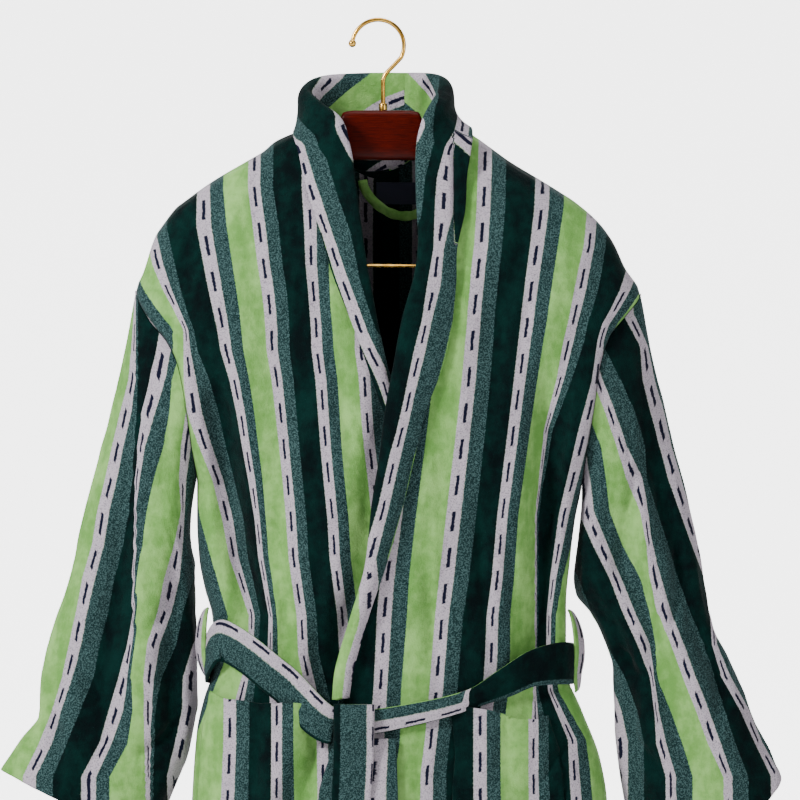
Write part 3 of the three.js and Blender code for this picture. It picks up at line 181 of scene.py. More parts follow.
# Where the bands of the cloth lie across each piece: places on the cloth, and their x at each height
STRIPE_COLUMNS = {
    "front_right": (-62, -31, 0, 62, 124, 186, 217, 279),
    "front_left": (0, 62, 124, 186, 217, 248, 310),
    "sleeve_right": (62, 93, 108, 124, 155, 170, 186, 217, 232, 248, 279),
    "sleeve_left": (0, 31, 46, 62, 93, 108, 124, 155, 170, 186),
    "collar_right": (93, 108, 124, 155, 170),
    "collar_left": (93, 108, 124, 155, 170, 186, 217),
}
STRIPES = {
    "front_right": [
        (-168, -262, -240, -210, -157, -107, -49, -22, 30),
        (-206, -258, -238, -214, -153, -101, -50, -24, 26),
        (-245, -248, -228, -205, -147, -97, -51, -26, 20), (-270, -236, -217, -199, -143, -93, -50, -26, 21),
        (-290, -222, -206, -193, -140, -91, -49, -26, 22), (-310, -206, -196, -186, -138, -90, -47, -25, 23),
        (-330, -206, -196, -182, -136, -90, -46, -25, 24), (-360, -210, -196, -170, -130, -86, -42, -21, 26),
        (-393, -206, -193, -161, -125, -83, -40, -19, 28), (-426, -196, -181, -154, -121, -80, -38, -16, 30),
        (-459, -188, -168, -146, -117, -77, -35, -12, 34), (-499, -180, -158, -136, -114, -73, -31, -8, 40),
        (-537, -169, -151, -132, -111, -71, -29, -6, 42), (-595, -152, -131, -119, -103, -63, -22, 0, 50),
        (-633, -152, -131, -122, -102, -61, -20, 2, 52), (-720, -186, -156, -130, -86, -40, 4, 24, 70),
        (-900, -194, -164, -134, -84, -36, 10, 32, 80), (-1330, -206, -172, -138, -84, -32, 20, 44, 96),
    ],
    "front_left": [
        (-96, -4, 72, 128, 190, 212, 236, 280), (-187, -2, 68, 125, 184, 208, 230, 276),
        (-225, -4, 66, 122, 178, 204, 226, 280), (-250, -6, 63, 119, 174, 198, 222, 272),
        (-270, -7, 62, 117, 171, 194, 218, 262), (-290, -8, 60, 115, 168, 190, 212, 248),
        (-305, -9, 59, 114, 166, 187, 207, 236),
        (-321, -10, 57, 113, 163, 183, 204, 230), (-360, -12, 53, 110, 157, 176, 191, 232),
        (-410, -14, 47, 105, 150, 164, 172, 224), (-495, -18, 36, 96, 138, 156, 158, 200),
        (-557, -28, 29, 89, 134, 156, 158, 183), (-595, -33, 27, 83, 130, 156, 158, 176),
        (-633, -33, 24, 80, 130, 156, 158, 175), (-671, -34, 21, 77, 128, 154, 158, 178),
        (-720, -42, 20, 69, 122, 150, 170, 206), (-752, -44, 15, 66, 120, 148, 168, 210),
        (-900, -50, 10, 66, 122, 150, 176, 222), (-1330, -58, 6, 68, 130, 160, 188, 240),
    ],
    "collar_right": [
        (-90, -104, -90, -80, -50, -36), (-105, -98, -84, -76, -47, -33), (-140, -84, -71, -53, -30, -15),
        (-160, -78, -65, -47, -22, -8), (-180, -72, -58, -41, -10, 4), (-214, -57, -47, -29, 2, 16),
        (-260, -42, -31, -20, 11, 26), (-311, -24, -12, -5, 26, 41), (-349, -7, 4, 20, 51, 66),
        (-369, 1, 9, 25, 56, 71), (-502, 50, 60, 75, 106, 120),
    ],
    "collar_left": [
        (-90, 38, 52, 56, 75, 92, 108, 140), (-105, 38, 47, 54, 74, 90, 106, 137),
        (-125, 24, 38, 54, 65, 72, 100, 130), (-160, 22, 36, 45, 56, 73, 96, 125),
        (-195, 12, 27, 42, 54, 71, 87, 118), (-230, 4, 19, 35, 53, 63, 78, 109),
        (-265, -6, 9, 25, 47, 60, 75, 106), (-300, -14, 0, 12, 42, 51, 72, 103),
        (-335, -24, -10, 3, 33, 44, 64, 95), (-370, -30, -16, -5, 26, 35, 54, 85),
        (-410, -40, -26, -14, 17, 26, 42, 73), (-435, -46, -32, -21, 10, 20, 33, 64),
        (-480, -56, -42, -31, 0, 10, 23, 54), (-537, -70, -56, -45, -14, -4, 6, 37),
        (-560, -80, -65, -49, -18, -3, 12, 43), (-600, -84, -69, -53, -21, -6, 10, 41),
        (-643, -97, -82, -66, -34, -19, -3, 28), (-683, -102, -87, -71, -39, -24, -8, 23),
    ],
}

# Sleeves: the height, how many band edges are out of sight, and the next edges as read off, in steps from
# each side's own x, of which 3.016 make a millimetre
READING = {"steps": 3.016, "right": -380.0, "left": 180.0}
SLEEVE_BANDS = {
    "right": [
        (-293, 0, 340, 400, 407, 413, 490, 515, 545, 600, 630, 660),
        (-326, 0, 330, 396, 410, 413, 475, 520, 550, 610, 640, 670),
        (-360, 0, 310, 385, 409, 413, 450, 500, 520, 575, 600, 630),
        (-393, 0, 290, 360, 395, 412, 425, 468, 512, 560, 590, 620),
        (-426, 0, 265, 335, 370, 408, 413, 438, 495, 545, 575, 600),
        (-459, 0, 240, 315, 350, 402, 405, 418, 465, 540, 560, 590),
        (-492, 0, 215, 290, 325, 390, 403, 406, 440, 545, 555, 590),
        (-525, 0, 195, 275, 310, 370, 404, 408, 427, 525, 550, 600),
        (-558, 0, 170, 245, 285, 345, 402, 404, 407, 495, 540, 582),
        (-592, 0, 140, 225, 260, 325, 401, 403, 406, 475, 515, 550),
        (-625, 0, 110, 205, 240, 300, 383, 402, 404, 440, 480, 530, 580),
        (-658, 0, 90, 185, 215, 280, 355, 388, 391, 430, 465, 485, 550),
        (-691, 0, 70, 155, 180, 240, 325, 370, 400, 432, 458, 463, 545),
        (-724, 0, 30, 115, 155, 200, 300, 335, 385, 435, 455, 460, 525),
        (-757, 0, -20, 65, 105, 160, 245, 290, 330, 440, 452, 458, 500),
    ],
    "left": [
        (-293, 4, 40, 60, 90, 190, 222, 262), (-326, 3, 40, 85, 100, 130, 243, 268, 284),
        (-360, 3, 60, 98, 126, 185, 250, 290, 310), (-393, 3, 85, 135, 165, 228, 275, 320, 336),
        (-426, 3, 125, 168, 200, 258, 303, 340, 360), (-459, 3, 138, 200, 252, 262, 330, 372, 395),
        (-492, 3, 150, 245, 265, 295, 365, 400, 420), (-525, 2, 145, 190, 262, 278, 330, 400, 430, 460),
        (-558, 1, 152, 185, 245, 268, 305, 360, 440, 470, 500),
        (-592, 1, 190, 225, 275, 292, 335, 395, 458, 480, 510),
        (-625, 1, 235, 275, 290, 335, 375, 440, 460, 476, 515),
        (-658, 0, 200, 275, 286, 292, 370, 410, 470, 490, 520, 560),
        (-691, 0, 235, 288, 296, 335, 410, 450, 500, 545, 575, 592),
        (-724, 0, 255, 290, 320, 370, 445, 485, 530, 590, 615, 640),
        (-757, 0, 255, 320, 350, 400, 495, 520, 570, 640, 672, 700),
    ],
}

# The outer part of the left fall lies on the shoulder: its bands follow the neck
FALL_OUTER = {
    "x": 73.0, "low": -224.0, "slant": 0.9, "slant_x": 80.0,
    "level": (90, 106, 128, 200), "cloth": (124, 108, 93, 63),
}
FALL_CREASE = {"width": 2.6, "foot": -225.0, "over": 30.0, "depth": 3.2}
# Two pieces of cloth meet in each collar, and the green beside the lilac band changes there
HALF_REPEAT = 62.0
CHANGE_HEIGHT = -552.0
NECK_CHANGE = -100.0
LAPEL_FROM = {"z": -86.0, "over": 24.0}

# Collar round the neck: seam on the back (at x) or on a front (at z), the roll, the edge of the fall,
# the way it faces (90 is back, 180 and 0 the sides), the gap inside the roll, and the cloth at the roll
NECK_ROWS = "on_back at roll_x roll_y roll_z fall_x fall_y fall_z facing gap cloth"
COLLAR_NECK = {
    "right": table(NECK_ROWS, [
        (1, 25, 25, 49, -57, 25, 72, -160, 90, 12, 198),
        (1, 0, -2, 49, -57, -4, 72, -159, 93, 12, 187),
        (1, -26, -31, 44, -58, -35, 66, -154, 106, 12, 170),
        (1, -45, -54, 33, -60, -62, 51, -143, 130, 12, 156),
        (1, -58, -69, 17, -66, -82, 27, -127, 156, 12, 150),
        (1, -64, -74, -2, -76, -85, 1, -111, 186, 12, 150),
        (0, -112, -63, -21, -88, -85, -21, -119, 216, 11, 153),
        (0, -124, -43, -34, -104, -81, -36, -134, 248, 9, 156),
    ]),
    "left": table(NECK_ROWS, [
        (1, 25, 25, 49, -57, 25, 72, -160, 90, 12, 93), (1, 40, 41, 43, -57, 46, 64, -155, 76, 12, 106),
        (1, 52, 56, 31, -59, 68, 47, -143, 52, 12, 118), (1, 61, 65, 15, -65, 84, 24, -124, 24, 12, 128),
        (1, 65, 64, -3, -76, 90, 1, -108, -8, 12, 126), (0, -106, 57, -21, -87, 92, -21, -117, -38, 11, 120),
        (0, -120, 47, -34, -105, 90, -36, -136, -68, 9, 116),
    ]),
}
LAPEL_ROWS = "roll_x roll_z fall_x fall_z cloth"
COLLAR_LAPEL = {
    "right": table(LAPEL_ROWS, [
        (-31, -130, -77, -152, 158), (-26, -166, -70, -178, 157), (-21, -204, -58, -214, 152),
        (-15, -244, -47, -252, 140), (-8, -282, -33, -288, 127), (-1, -318, -20, -320, 118),
        (8, -354, -8, -356, 109), (22, -392, 6, -394, 104), (42, -440, 27, -442, 102),
        (62, -500, 48, -502, 100),
    ]),
    "left": table(LAPEL_ROWS, [
        (38, -130, 86, -160, 112), (38, -176, 84, -192, 118), (40, -222, 76, -230, 126),
        (36, -256, 75, -266, 134), (24, -300, 71, -306, 137), (15, -348, 62, -346, 139),
        (7, -392, 46, -388, 141), (1, -440, 34, -434, 147), (-6, -484, 23, -480, 156),
        (-13, -546, 6, -540, 172), (-28, -598, -11, -590, 190), (-42, -646, -26, -642, 199),
        (-45.5, -678, -32, -676, 204),
    ]),
}
COLLAR_SEAM = {"x": 25.0, "rise": 1.4, "behind": 30.0}
COLLAR_FALL = ((0.14, 0.4), (0.52, 0.75))
# Lapels: they follow the front's folds less, and low down, under the left front, the right one is flatter
LAPEL = {"seam_inset": 7.0, "seam_share": 0.45, "roll": 3.3, "smooth": 0.6}
LOW_LAPEL = {"z": -390.0, "over": 50.0, "flatter": 0.65}
LAPEL_FALL = ((0.45, 2.0), (0.75, 1.3), (1.0, 0.1))

# Belt: height and upright width across the front, level round the back; then the tails and loops
BELT_OUT = 4.2
BELT_BACK = {"z": -645.0, "width": 40.0}
BELT_ENDS = {"right": -45.0, "left": -8.0}
BELT_CLOTH = {"thick": 5.4, "uneven": 0.8, "sag": 1.2, "lift": 2.4, "pinch": 0.12, "steps": 420}
BELT_TURNS = {"sag": 38.0, "uneven": 55.0}
STRAP_ROUND = {"flat": 0.8, "edge": 0.6}
# Place on the cloth of the belt's edge on each side of the knot, and where the left part turns over
BELT_BANDS = {"right": 92.0, "left": 66.0, "from": -26.0, "turn_x": 80.0, "turn_over": 16.0, "turn": 36.0}
BELT_FRONT = table("x z width", [
    (-165, -618, 42), (-155, -620, 43), (-100, -660, 40), (-45, -704, 37), (-8, -700, 25),
    (40, -690, 22), (90, -677, 20), (126, -662, 31), (155, -648, 38), (190, -640, 44),
])
TAILS = {
    "belt_tail_front": table("z x width out", [
        (-682, -25.5, 41, 13.8), (-730, -26, 40, 13.8), (-780, -28.5, 39, 11), (-900, -31, 40, 10.4),
        (-1110, -33, 40, 10.4),
    ]),
    "belt_tail_rear": table("z x width out", [
        (-716, -2, 36, 5.1), (-780, -2, 40, 5.1), (-900, 4, 40, 5.1), (-1150, 8, 40, 5.1),
    ]),
}
TAIL = {
    "steps": 170, "pinch": 0.1, "gap": 0.4, "sway": 1.5,
    "sway_length": 46.0, "sway_from": -740.0, "fade": 80.0,
}
TAIL_BANDS = {"belt_tail_front": (136.0, -1), "belt_tail_rear": (84.0, 1)}
KNOT = {"z": -706.0, "height": 17.0, "thick": 11.0, "forward": 4.5}
LOOPS = {"right": (-588.0, -660.0), "left": (-590.0, -674.0)}
LOOP = {
    "width": 16.0, "slack": 3.0, "turn": 38.0, "forward": -5.0,
    "cloth": 2.2, "ease": 0.55, "band": 86.0, "wide": 19.0,
}

# Patch pockets: how far across the front they reach, and their upper edges (share across, height)
POCKETS = {
    "right": {"inner": 0.46, "outer": 0.972, "foot": -884.0, "bands": -722.0, "top": [
        (0.46, -690), (0.6, -683), (0.66, -683), (0.72, -684), (0.8, -682), (0.9, -680), (0.972, -672)]},
    "left": {"inner": 0.46, "outer": 0.85, "foot": -884.0, "bands": -756.0, "top": [
        (0.46, -682), (0.55, -687), (0.64, -692), (0.72, -700), (0.79, -701), (0.85, -696)]},
}

# A pocket's cloth puffs inside its rim, stands off at its mouth and is pressed in at the line of stitching
POCKET = {"rim": 60.0, "puff": 3.0, "stitch": 27.0, "stitch_width": 1.6, "stitch_depth": 1.4}
POCKET_MOUTH = {"edge": 2.0, "edge_width": 5.0, "edge_height": 1.5, "stand": 6.5, "fade": 16.0}

HANG_LOOP = {
    "x": 25.0, "half": 43.0, "top": -158.0, "drop": 36.0, "round": 0.6, "thick": 9.6, "off": 1.0,
    "forward": 3.5, "uneven": 0.35, "uneven_turn": 40.0,
}

# Hanger
HANGER = {"middle": 1.0, "end": 202.0, "block": 42.0, "arm": 44.0, "square": 0.45}
HANGER_SECTIONS = table("reach top foot half", [
    (0, -89, -139, 12), (26, -89, -139, 12), (38, -91, -140, 11.5), (42, -99, -142, 11), (62, -108, -150, 10),
    (100, -125, -164, 10), (130, -150, -183, 11), (170, -175, -206, 12), (190, -184, -214, 12),
    (202, -193, -212, 8),
])
HOOK = {"wire": 2.2, "x": -2.0, "z": -23.8, "radius": 26.0, "stem": 3.0, "ball": 4.0}
# Points of the hook's wire above the ferrule: how far right of the stem, and the height
STEM = ((0.0, -76.0), (0.0, -66.0), (0.3, -58.0), (3.4, -51.5), (11.0, -43.5))
FERRULE = {"radius": 4.2, "top": -81.5, "foot": -88.7}

# Faces across and along each piece
SLEEVE_FACES = (110, 190)
COLLAR_POINTS = (300, 64)
POCKET_FACES = (70, 80)

# Camera and light
LIGHTS = {
    "key": {"place": (-2.3, -2.0, 1.35), "size": 0.9},
    "fill": {"place": (1.9, -2.0, 0.1), "size": 1.6},
    "top": {"place": (0.1, -0.4, 1.7), "size": 1.4},
}
STUDIO = {"size": 26.0, "floor": -1.62, "wall": 12.5, "floor_glow": 0.5, "wall_glow": 3.5, "tone": 0.93}
CAMERA = {"distance": 6.0, "across": 0.8, "x": 0.020, "z": -0.380, "plane": -0.03, "sensor": 36.0}


def rows_of(columns):
    """The rows of a table, each with its numbers by name."""
    count = len(next(iter(columns.values())))
    return [{name: float(column[k]) for name, column in columns.items()} for k in range(count)]


def mix(a, b, t):
    return a + (b - a) * t


def smoothstep(value):
    t = np.clip(value, 0, 1)
    return t * t * (3 - 2 * t)


def curve(rows, key, column):
    """A smooth curve through one column of a table, that never swings past its rows."""
    order = np.argsort(rows[key])
    at = rows[key][order]
    values = rows[column][order]
    slopes = np.diff(values) / np.diff(at)
    tangents = np.empty_like(values)
    tangents[0] = slopes[0]
    tangents[-1] = slopes[-1]
    before = slopes[:-1]
    after = slopes[1:]
    joined = before + after
    safe = np.where(np.abs(joined) < 1e-12, 1, joined)
    tangents[1:-1] = np.where(before * after > 0, 2 * before * after / safe, 0)

    def evaluate(x):
        inside = np.clip(x, at[0], at[-1])
        i = np.clip(np.searchsorted(at, inside, side="right") - 1, 0, len(at) - 2)
        span = at[i + 1] - at[i]
        t = (inside - at[i]) / span
        rise = (1 + 2 * t) * (1 - t) ** 2 * values[i] + t * t * (3 - 2 * t) * values[i + 1]
        return rise + span * t * (1 - t) * ((1 - t) * tangents[i] - t * tangents[i + 1])

    return evaluate


HALF = {"right": curve(RIGHT_SIDE, "z", "half"), "left": curve(LEFT_SIDE, "z", "half")}
DEPTH = {"front": curve(DEPTHS, "z", "front"), "back": curve(DEPTHS, "z", "back")}
EDGE = {"right": curve(RIGHT_EDGE, "z", "x"), "left": curve(LEFT_EDGE, "z", "x")}


def half_width(x, z):
    return np.where(x < 0, HALF["right"](z), HALF["left"](z))


def one_armhole(side, face, z):
    hole = ARMHOLES[side]
    middle = (hole["tip"] + hole["under"]) / 2
    reach = (hole["tip"] - hole["under"]) / 2
    level = np.clip(np.abs((z - middle) / reach), 0, 1)
    return hole[face] * (1 - level * level) ** ARMHOLE_POWER


def armhole_depth(face, x, z):
    return np.where(x < 0, one_armhole("right", face, z), one_armhole("left", face, z))


def trough(depth, along, away, start, end):
    """Depth of a fold that fades in and out along its length."""
    fade = np.minimum(np.minimum(1, start * along), end * (1 - along))
    return depth * smoothstep(fade) * np.exp(-away * away)


def fold_depth(folds, x, z):
    total = np.zeros_like(x)
    for fold in rows_of(folds):
        along = (fold["top"] - z) / (fold["top"] - fold["foot"])
        centre = mix(fold["x_top"], fold["x_foot"], along)
        away = (x - centre) / fold["width"]
        total += trough(fold["depth"], along, away, 4, 3)
    return total


def ripple(a, b, seed, size, height):
    """Small unevenness of hanging cloth: waves of several sizes and directions."""
    random = np.random.default_rng(seed)
    total = np.zeros_like(a)
    for octave in range(WAVES["count"]):
        shrink = WAVES["shorter"] ** octave
        length = size / shrink
        turn = random.uniform(-WAVES["turn"], WAVES["turn"])
        phase = random.uniform(0, 2 * np.pi, 2)
        wave = a * np.cos(turn) + b * np.sin(turn) * WAVES["down"]
        sway = np.sin(2 * np.pi * b / (length * WAVES["sway_length"]) + phase[1])
        total += np.sin(2 * np.pi * wave / length + phase[0] + WAVES["sway"] * sway) / shrink
    return height * total / WAVES["sum"]


def hull_depth(face, x, z):
    across = np.clip(np.abs(x) / half_width(x, z), 0, 1)
    edge = armhole_depth(face, x, z)
    swell = (1 - across ** SECTION_POWER) ** (1 / SECTION_POWER)
    return edge + (DEPTH[face](z) - edge) * swell


def fold_margin(x, z):
    return np.clip((1 - np.abs(x) / half_width(x, z)) / FOLD_MARGIN, 0, 1)


def front_y(x, z):
    margin = fold_margin(x, z)
    wrinkles = PANEL_SLACK + ripple(x, z, **FRONT_WAVES)
    return -(hull_depth("front", x, z) - margin * (fold_depth(FRONT_FOLDS, x, z) + wrinkles))


def back_y(x, z):
    margin = fold_margin(x, z)
    fade = smoothstep((BACK_WAVES_FROM["z"] - z) / BACK_WAVES_FROM["over"])
    wrinkles = (PANEL_SLACK + ripple(x, z, **BACK_WAVES)) * fade
    return hull_depth("back", x, z) - margin * (fold_depth(BACK_FOLDS, x, z) + wrinkles)


def underlap(x, z):
    start = EDGE["left"](z)
    across = smoothstep((x - start + UNDERLAP["before"]) / UNDERLAP["over"])
    return UNDERLAP["depth"] * across * smoothstep((UNDERLAP["top"] - z) / UNDERLAP["fade"])


def panel_reach(side, z):
    return HALF[side](np.minimum(z, ARMHOLES[side]["tip"]))


def shoulder_height(side, x_at, neck_z):
    """The height at which a column that keeps its x meets the shoulder seam."""
    high = neck_z
    low = ARMHOLES[side]["tip"]
    for _ in range(30):
        middle = (high + low) / 2
        if abs(x_at(middle)) > HALF[side](middle):
            high = middle
        else:
            low = middle
    return low


def arc_length(points, axis):
    """Length along one direction of a grid of points, from its first point."""
    steps = np.linalg.norm(np.diff(points, axis=axis), axis=2)
    start = np.zeros_like(np.take(steps, [0], axis=axis))
    return np.concatenate([start, np.cumsum(steps, axis=axis)], axis=axis)


def sleeve_bands(side):
    """A sleeve's band edges in millimetres; those out of sight follow at the bands' own widths."""
    places = STRIPE_COLUMNS[f"sleeve_{side}"]
    rows = []
    for height, hidden, *seen in SLEEVE_BANDS[side]:
        edges = [round(READING[side] + value / READING["steps"]) for value in seen]
        for k in range(hidden, 0, -1):
            edges.insert(0, edges[0] - (places[k] - places[k - 1]))
        for k in range(len(edges), len(places)):
            edges.append(edges[-1] + (places[k] - places[k - 1]))
        rows.append((height, *edges))
    return rows


def across_cloth(piece, x, z):
    """Place on the cloth, across its bands, for points of a front or the front of a sleeve."""
    places = np.array(STRIPE_COLUMNS[piece], float)
    bands = STRIPES[piece] if piece in STRIPES else sleeve_bands(piece.split("_")[1])
    rows = np.array(sorted(bands), float)
    lines = np.stack([np.interp(z, rows[:, 0], rows[:, k + 1]) for k in range(len(places))])
    cloth = np.full(x.shape, np.nan)
    for k in range(len(places) - 1):
        share = (x - lines[k]) / np.maximum(lines[k + 1] - lines[k], 0.5)
        inside = (share >= 0) & (share < 1)
        cloth = np.where(inside, mix(places[k], places[k + 1], share), cloth)
    cloth = np.where(x < lines[0], places[0] + x - lines[0], cloth)
    return np.where(x >= lines[-1], places[-1] + x - lines[-1], cloth)


def front_grid(side, columns, rows):
    points = np.zeros((columns + 1, rows + 1, 3))
    for i in range(columns + 1):
        def x_at(z, t=i / columns):
            return mix(EDGE[side](z), SIGN[side] * panel_reach(side, z), t)

        top = shoulder_height(side, x_at, NECK[side][1])
        z = np.linspace(top, HEM, rows + 1)
        points[i, :, 0] = x_at(z)
        points[i, :, 2] = z
    x = points[..., 0]
    z = points[..., 2]
    lap = underlap(x, z) if side == "right" else 0
    points[..., 1] = np.minimum(front_y(x, z) + lap, -HALF_SEAM)
    return points


def neckline_height(x):
    neck_x = np.where(x < 0, NECK["right"][0], NECK["left"][0])
    neck_z = np.where(x < 0, NECK["right"][1], NECK["left"][1])
    return neck_z - BACK_NECK_DROP * (1 - (x / neck_x) ** 2)


def back_grid(columns, rows):
    points = np.zeros((columns + 1, rows + 1, 3))
    for i in range(columns + 1):
        share = 2 * i / columns - 1
        t = np.sign(share) * mix(abs(share), math.sin(abs(share) * math.pi / 2), BACK["crowd"])
        side = "right" if t < 0 else "left"

        def x_at(z, t=t, side=side):
            return t * panel_reach(side, z)

        neck_x, neck_z = NECK[side]
        across = x_at(neck_z)
        at_neck = abs(across) < abs(neck_x)
        top = float(neckline_height(across)) if at_neck else shoulder_height(side, x_at, neck_z)
        z = np.linspace(top, HEM, rows + 1)
        points[i, :, 0] = x_at(z)
        points[i, :, 2] = z
    points[..., 1] = np.maximum(back_y(points[..., 0], points[..., 2]), HALF_SEAM)
    return points


def sleeve_troughs(folds, index, angle):
    total = np.zeros_like(angle)
    for fold in rows_of(folds):
        along = (index - fold["first"]) / (fold["last"] - fold["first"])
        centre = np.radians(mix(fold["angle_top"], fold["angle_foot"], along))
        turn = np.arctan2(np.sin(angle - centre), np.cos(angle - centre))
        away = turn / math.radians(fold["width"])
        total += trough(fold["depth"], along, away, 3, 3)
    return total


def sleeve_grid(side, around, rings):
    """Rings from the armhole seam to the cuff, kept clear of the body beside them."""
    rows = SLEEVES[side]
    sign = SIGN[side]
    stations = dict(rows, index=np.arange(len(rows["deep"]), dtype=float))
    last = len(rows["deep"]) - 1
    index = np.linspace(0, last, rings + 1)[None, :] * np.ones((around + 1, 1))
    angle = np.linspace(0, 2 * np.pi, around + 1)[:, None] * np.ones((1, rings + 1))
    angle[-1] = 0
    value = {name: curve(stations, "index", name)(index) for name in rows}
    across = np.cos(angle)
    upright = np.sin(angle)
    folded = sleeve_troughs(RINGS_FOLDED[side], index, angle)
    waves = SLEEVE_WAVES
    around_arm = angle * waves["around"]
    along_arm = index * waves["along"]
    uneven = ripple(around_arm, along_arm, SLEEVE_SEEDS[side], waves["size"], waves["height"])
    folded += uneven * smoothstep(index)
    half_x = (value["out_x"] - value["in_x"]) / 2
    half_z = (value["out_z"] - value["in_z"]) / 2
    full = 1 - folded / (np.hypot(half_x, half_z) * SLEEVE["flatten"])
    hang = value["droop"] * np.maximum(upright, 0)
    x = (value["out_x"] + value["in_x"]) / 2 + half_x * across * full + sign * SLEEVE["droop_out"] * hang
    y = value["back"] - value["deep"] * upright * (1 - folded / value["deep"])
    z = (value["out_z"] + value["in_z"]) / 2 + half_z * across * full - hang
    hole = ARMHOLES[side]
    seam_z = mix(hole["under"], hole["tip"], (1 + across) / 2)
    seam_x = sign * (HALF[side](seam_z) + SLEEVE["seam"])
    seam_y = np.where(upright >= 0, -one_armhole(side, "front", seam_z), one_armhole(side, "back", seam_z))
    blend = smoothstep(index / SLEEVE["blend"])
    points = np.stack([mix(seam_x, x, blend), mix(seam_y, y, blend), mix(seam_z, z, blend)], axis=2)
    return clear_of_body(points, side, index)


def clear_of_body(points, side, index):
    x, y, z = (points[..., k] for k in range(3))
    sign = SIGN[side]
    wide = HALF[side](z)
    deep = np.where(y < 0, hull_depth("front", x, z), hull_depth("back", x, z))
    full = np.where(y < 0, DEPTH["front"](z), DEPTH["back"](z))
    near = (np.abs(x) < wide + BESIDE["side"]) & (np.abs(y) < deep + BESIDE["face"])
    inside = near & (index > BESIDE["ring"])
    low = z < ARMHOLES[side]["under"]
    ratio = (np.abs(x) / wide) ** SECTION_POWER + (np.abs(y) / full) ** SECTION_POWER
    grow = (BESIDE["grow"] / np.maximum(ratio, BESIDE["least"])) ** (1 / SECTION_POWER)
    grow = np.maximum(grow, 1)
    x_new = np.where(low, x * grow, sign * (wide + BESIDE["out"]))
    y_new = np.where(low, y * grow, y)
    moved = points.copy()
    moved[..., 0] = np.where(inside, x_new, x)
    moved[..., 1] = np.where(inside, y_new, y)
    return moved


def spline(points, count):
    """A smooth curve through points along the first axis of an array, at evenly spread places."""
    ends = np.concatenate([2 * points[:1] - points[1:2], points, 2 * points[-1:] - points[-2:-1]])
    place = np.linspace(0, len(points) - 1, count)
    i = np.clip(place.astype(int), 0, len(points) - 2)
    t = (place - i).reshape((-1,) + (1,) * (points.ndim - 1))
    a, b, c, d = (ends[i + k] for k in range(4))
    bend = 2 * a - 5 * b + 4 * c - d
    return 0.5 * (2 * b + (c - a) * t + bend * t * t + (3 * b - a - 3 * c + d) * t ** 3)


def collar_sections(side):
    """Eight points of each section of the collar: up the stand, over the roll and down the fall."""
    sections = []
    for row in rows_of(COLLAR_NECK[side]):
        facing = math.radians(row["facing"])
        out = np.array([math.cos(facing), math.sin(facing), 0])
        at = row["at"]
        if row["on_back"]:
            z = float(neckline_height(at))
            stand = max(float(back_y(np.array(at), np.array(z))) - VELOUR / 2, 0)
            seam = np.array([at, stand, z + COLLAR_SEAM["rise"]])
        else:
            x = float(EDGE[side](at))
            y = float(front_y(np.array(x), np.array(at)))
            seam = np.array([x, y - DOUBLED / 2 - SEAM_GAP, at])
        roll = np.array([row["roll_x"], row["roll_y"], row["roll_z"]])
        fall = np.array([row["fall_x"], row["fall_y"], row["fall_z"]])
        up = roll - (seam + fall) / 2
        up /= np.linalg.norm(up)
        under = roll - out * row["gap"] / 2
        over = roll + out * row["gap"] / 2
        line = [seam, (seam + under) / 2, under, roll + up * row["gap"] / 2, over]
        for spread, drop in COLLAR_FALL:
            point = mix(over, fall, spread)
            point[2] = mix(over[2], fall[2], drop)
            line.append(point)
        sections.append(line + [fall])
    sections += [lapel_section(side, row) for row in rows_of(COLLAR_LAPEL[side])]
    return np.array(sections)


def lapel_section(side, row):
    sign = SIGN[side]

    def at(x, z, above):
        place_x = np.array(x)
        place_z = np.array(z)
        lap = float(underlap(place_x, place_z)) if side == "right" else 0
        smooth = -float(hull_depth("front", place_x, place_z))
        y = mix(float(front_y(place_x, place_z)), smooth, LAPEL["smooth"])
        return [x, y + lap - DOUBLED / 2 - SEAM_GAP - above, z]

    width = abs(row["fall_x"] - row["roll_x"])
    to_seam = abs(float(EDGE[side](row["roll_z"])) - row["roll_x"]) + LAPEL["seam_inset"]
    seam_x = row["roll_x"] + sign * min(to_seam, LAPEL["seam_share"] * width)
    z = row["roll_z"]
    roll = LAPEL["roll"]
    if side == "right":
        roll *= 1 - LOW_LAPEL["flatter"] * float(smoothstep((LOW_LAPEL["z"] - z) / LOW_LAPEL["over"]))
    near = row["roll_x"] + sign * roll
    line = [at(seam_x, z, 0), at((seam_x + near) / 2, z, 0), at(near, z, 0)]
    line.append(at(row["roll_x"], z, roll))
    line.append(at(near, z, 2 * roll))
    for share, lift in LAPEL_FALL:
        x = mix(row["roll_x"], row["fall_x"], share)
        down = mix(row["roll_z"], row["fall_z"], share)
        line.append(at(x, down, lift * roll))
    return line


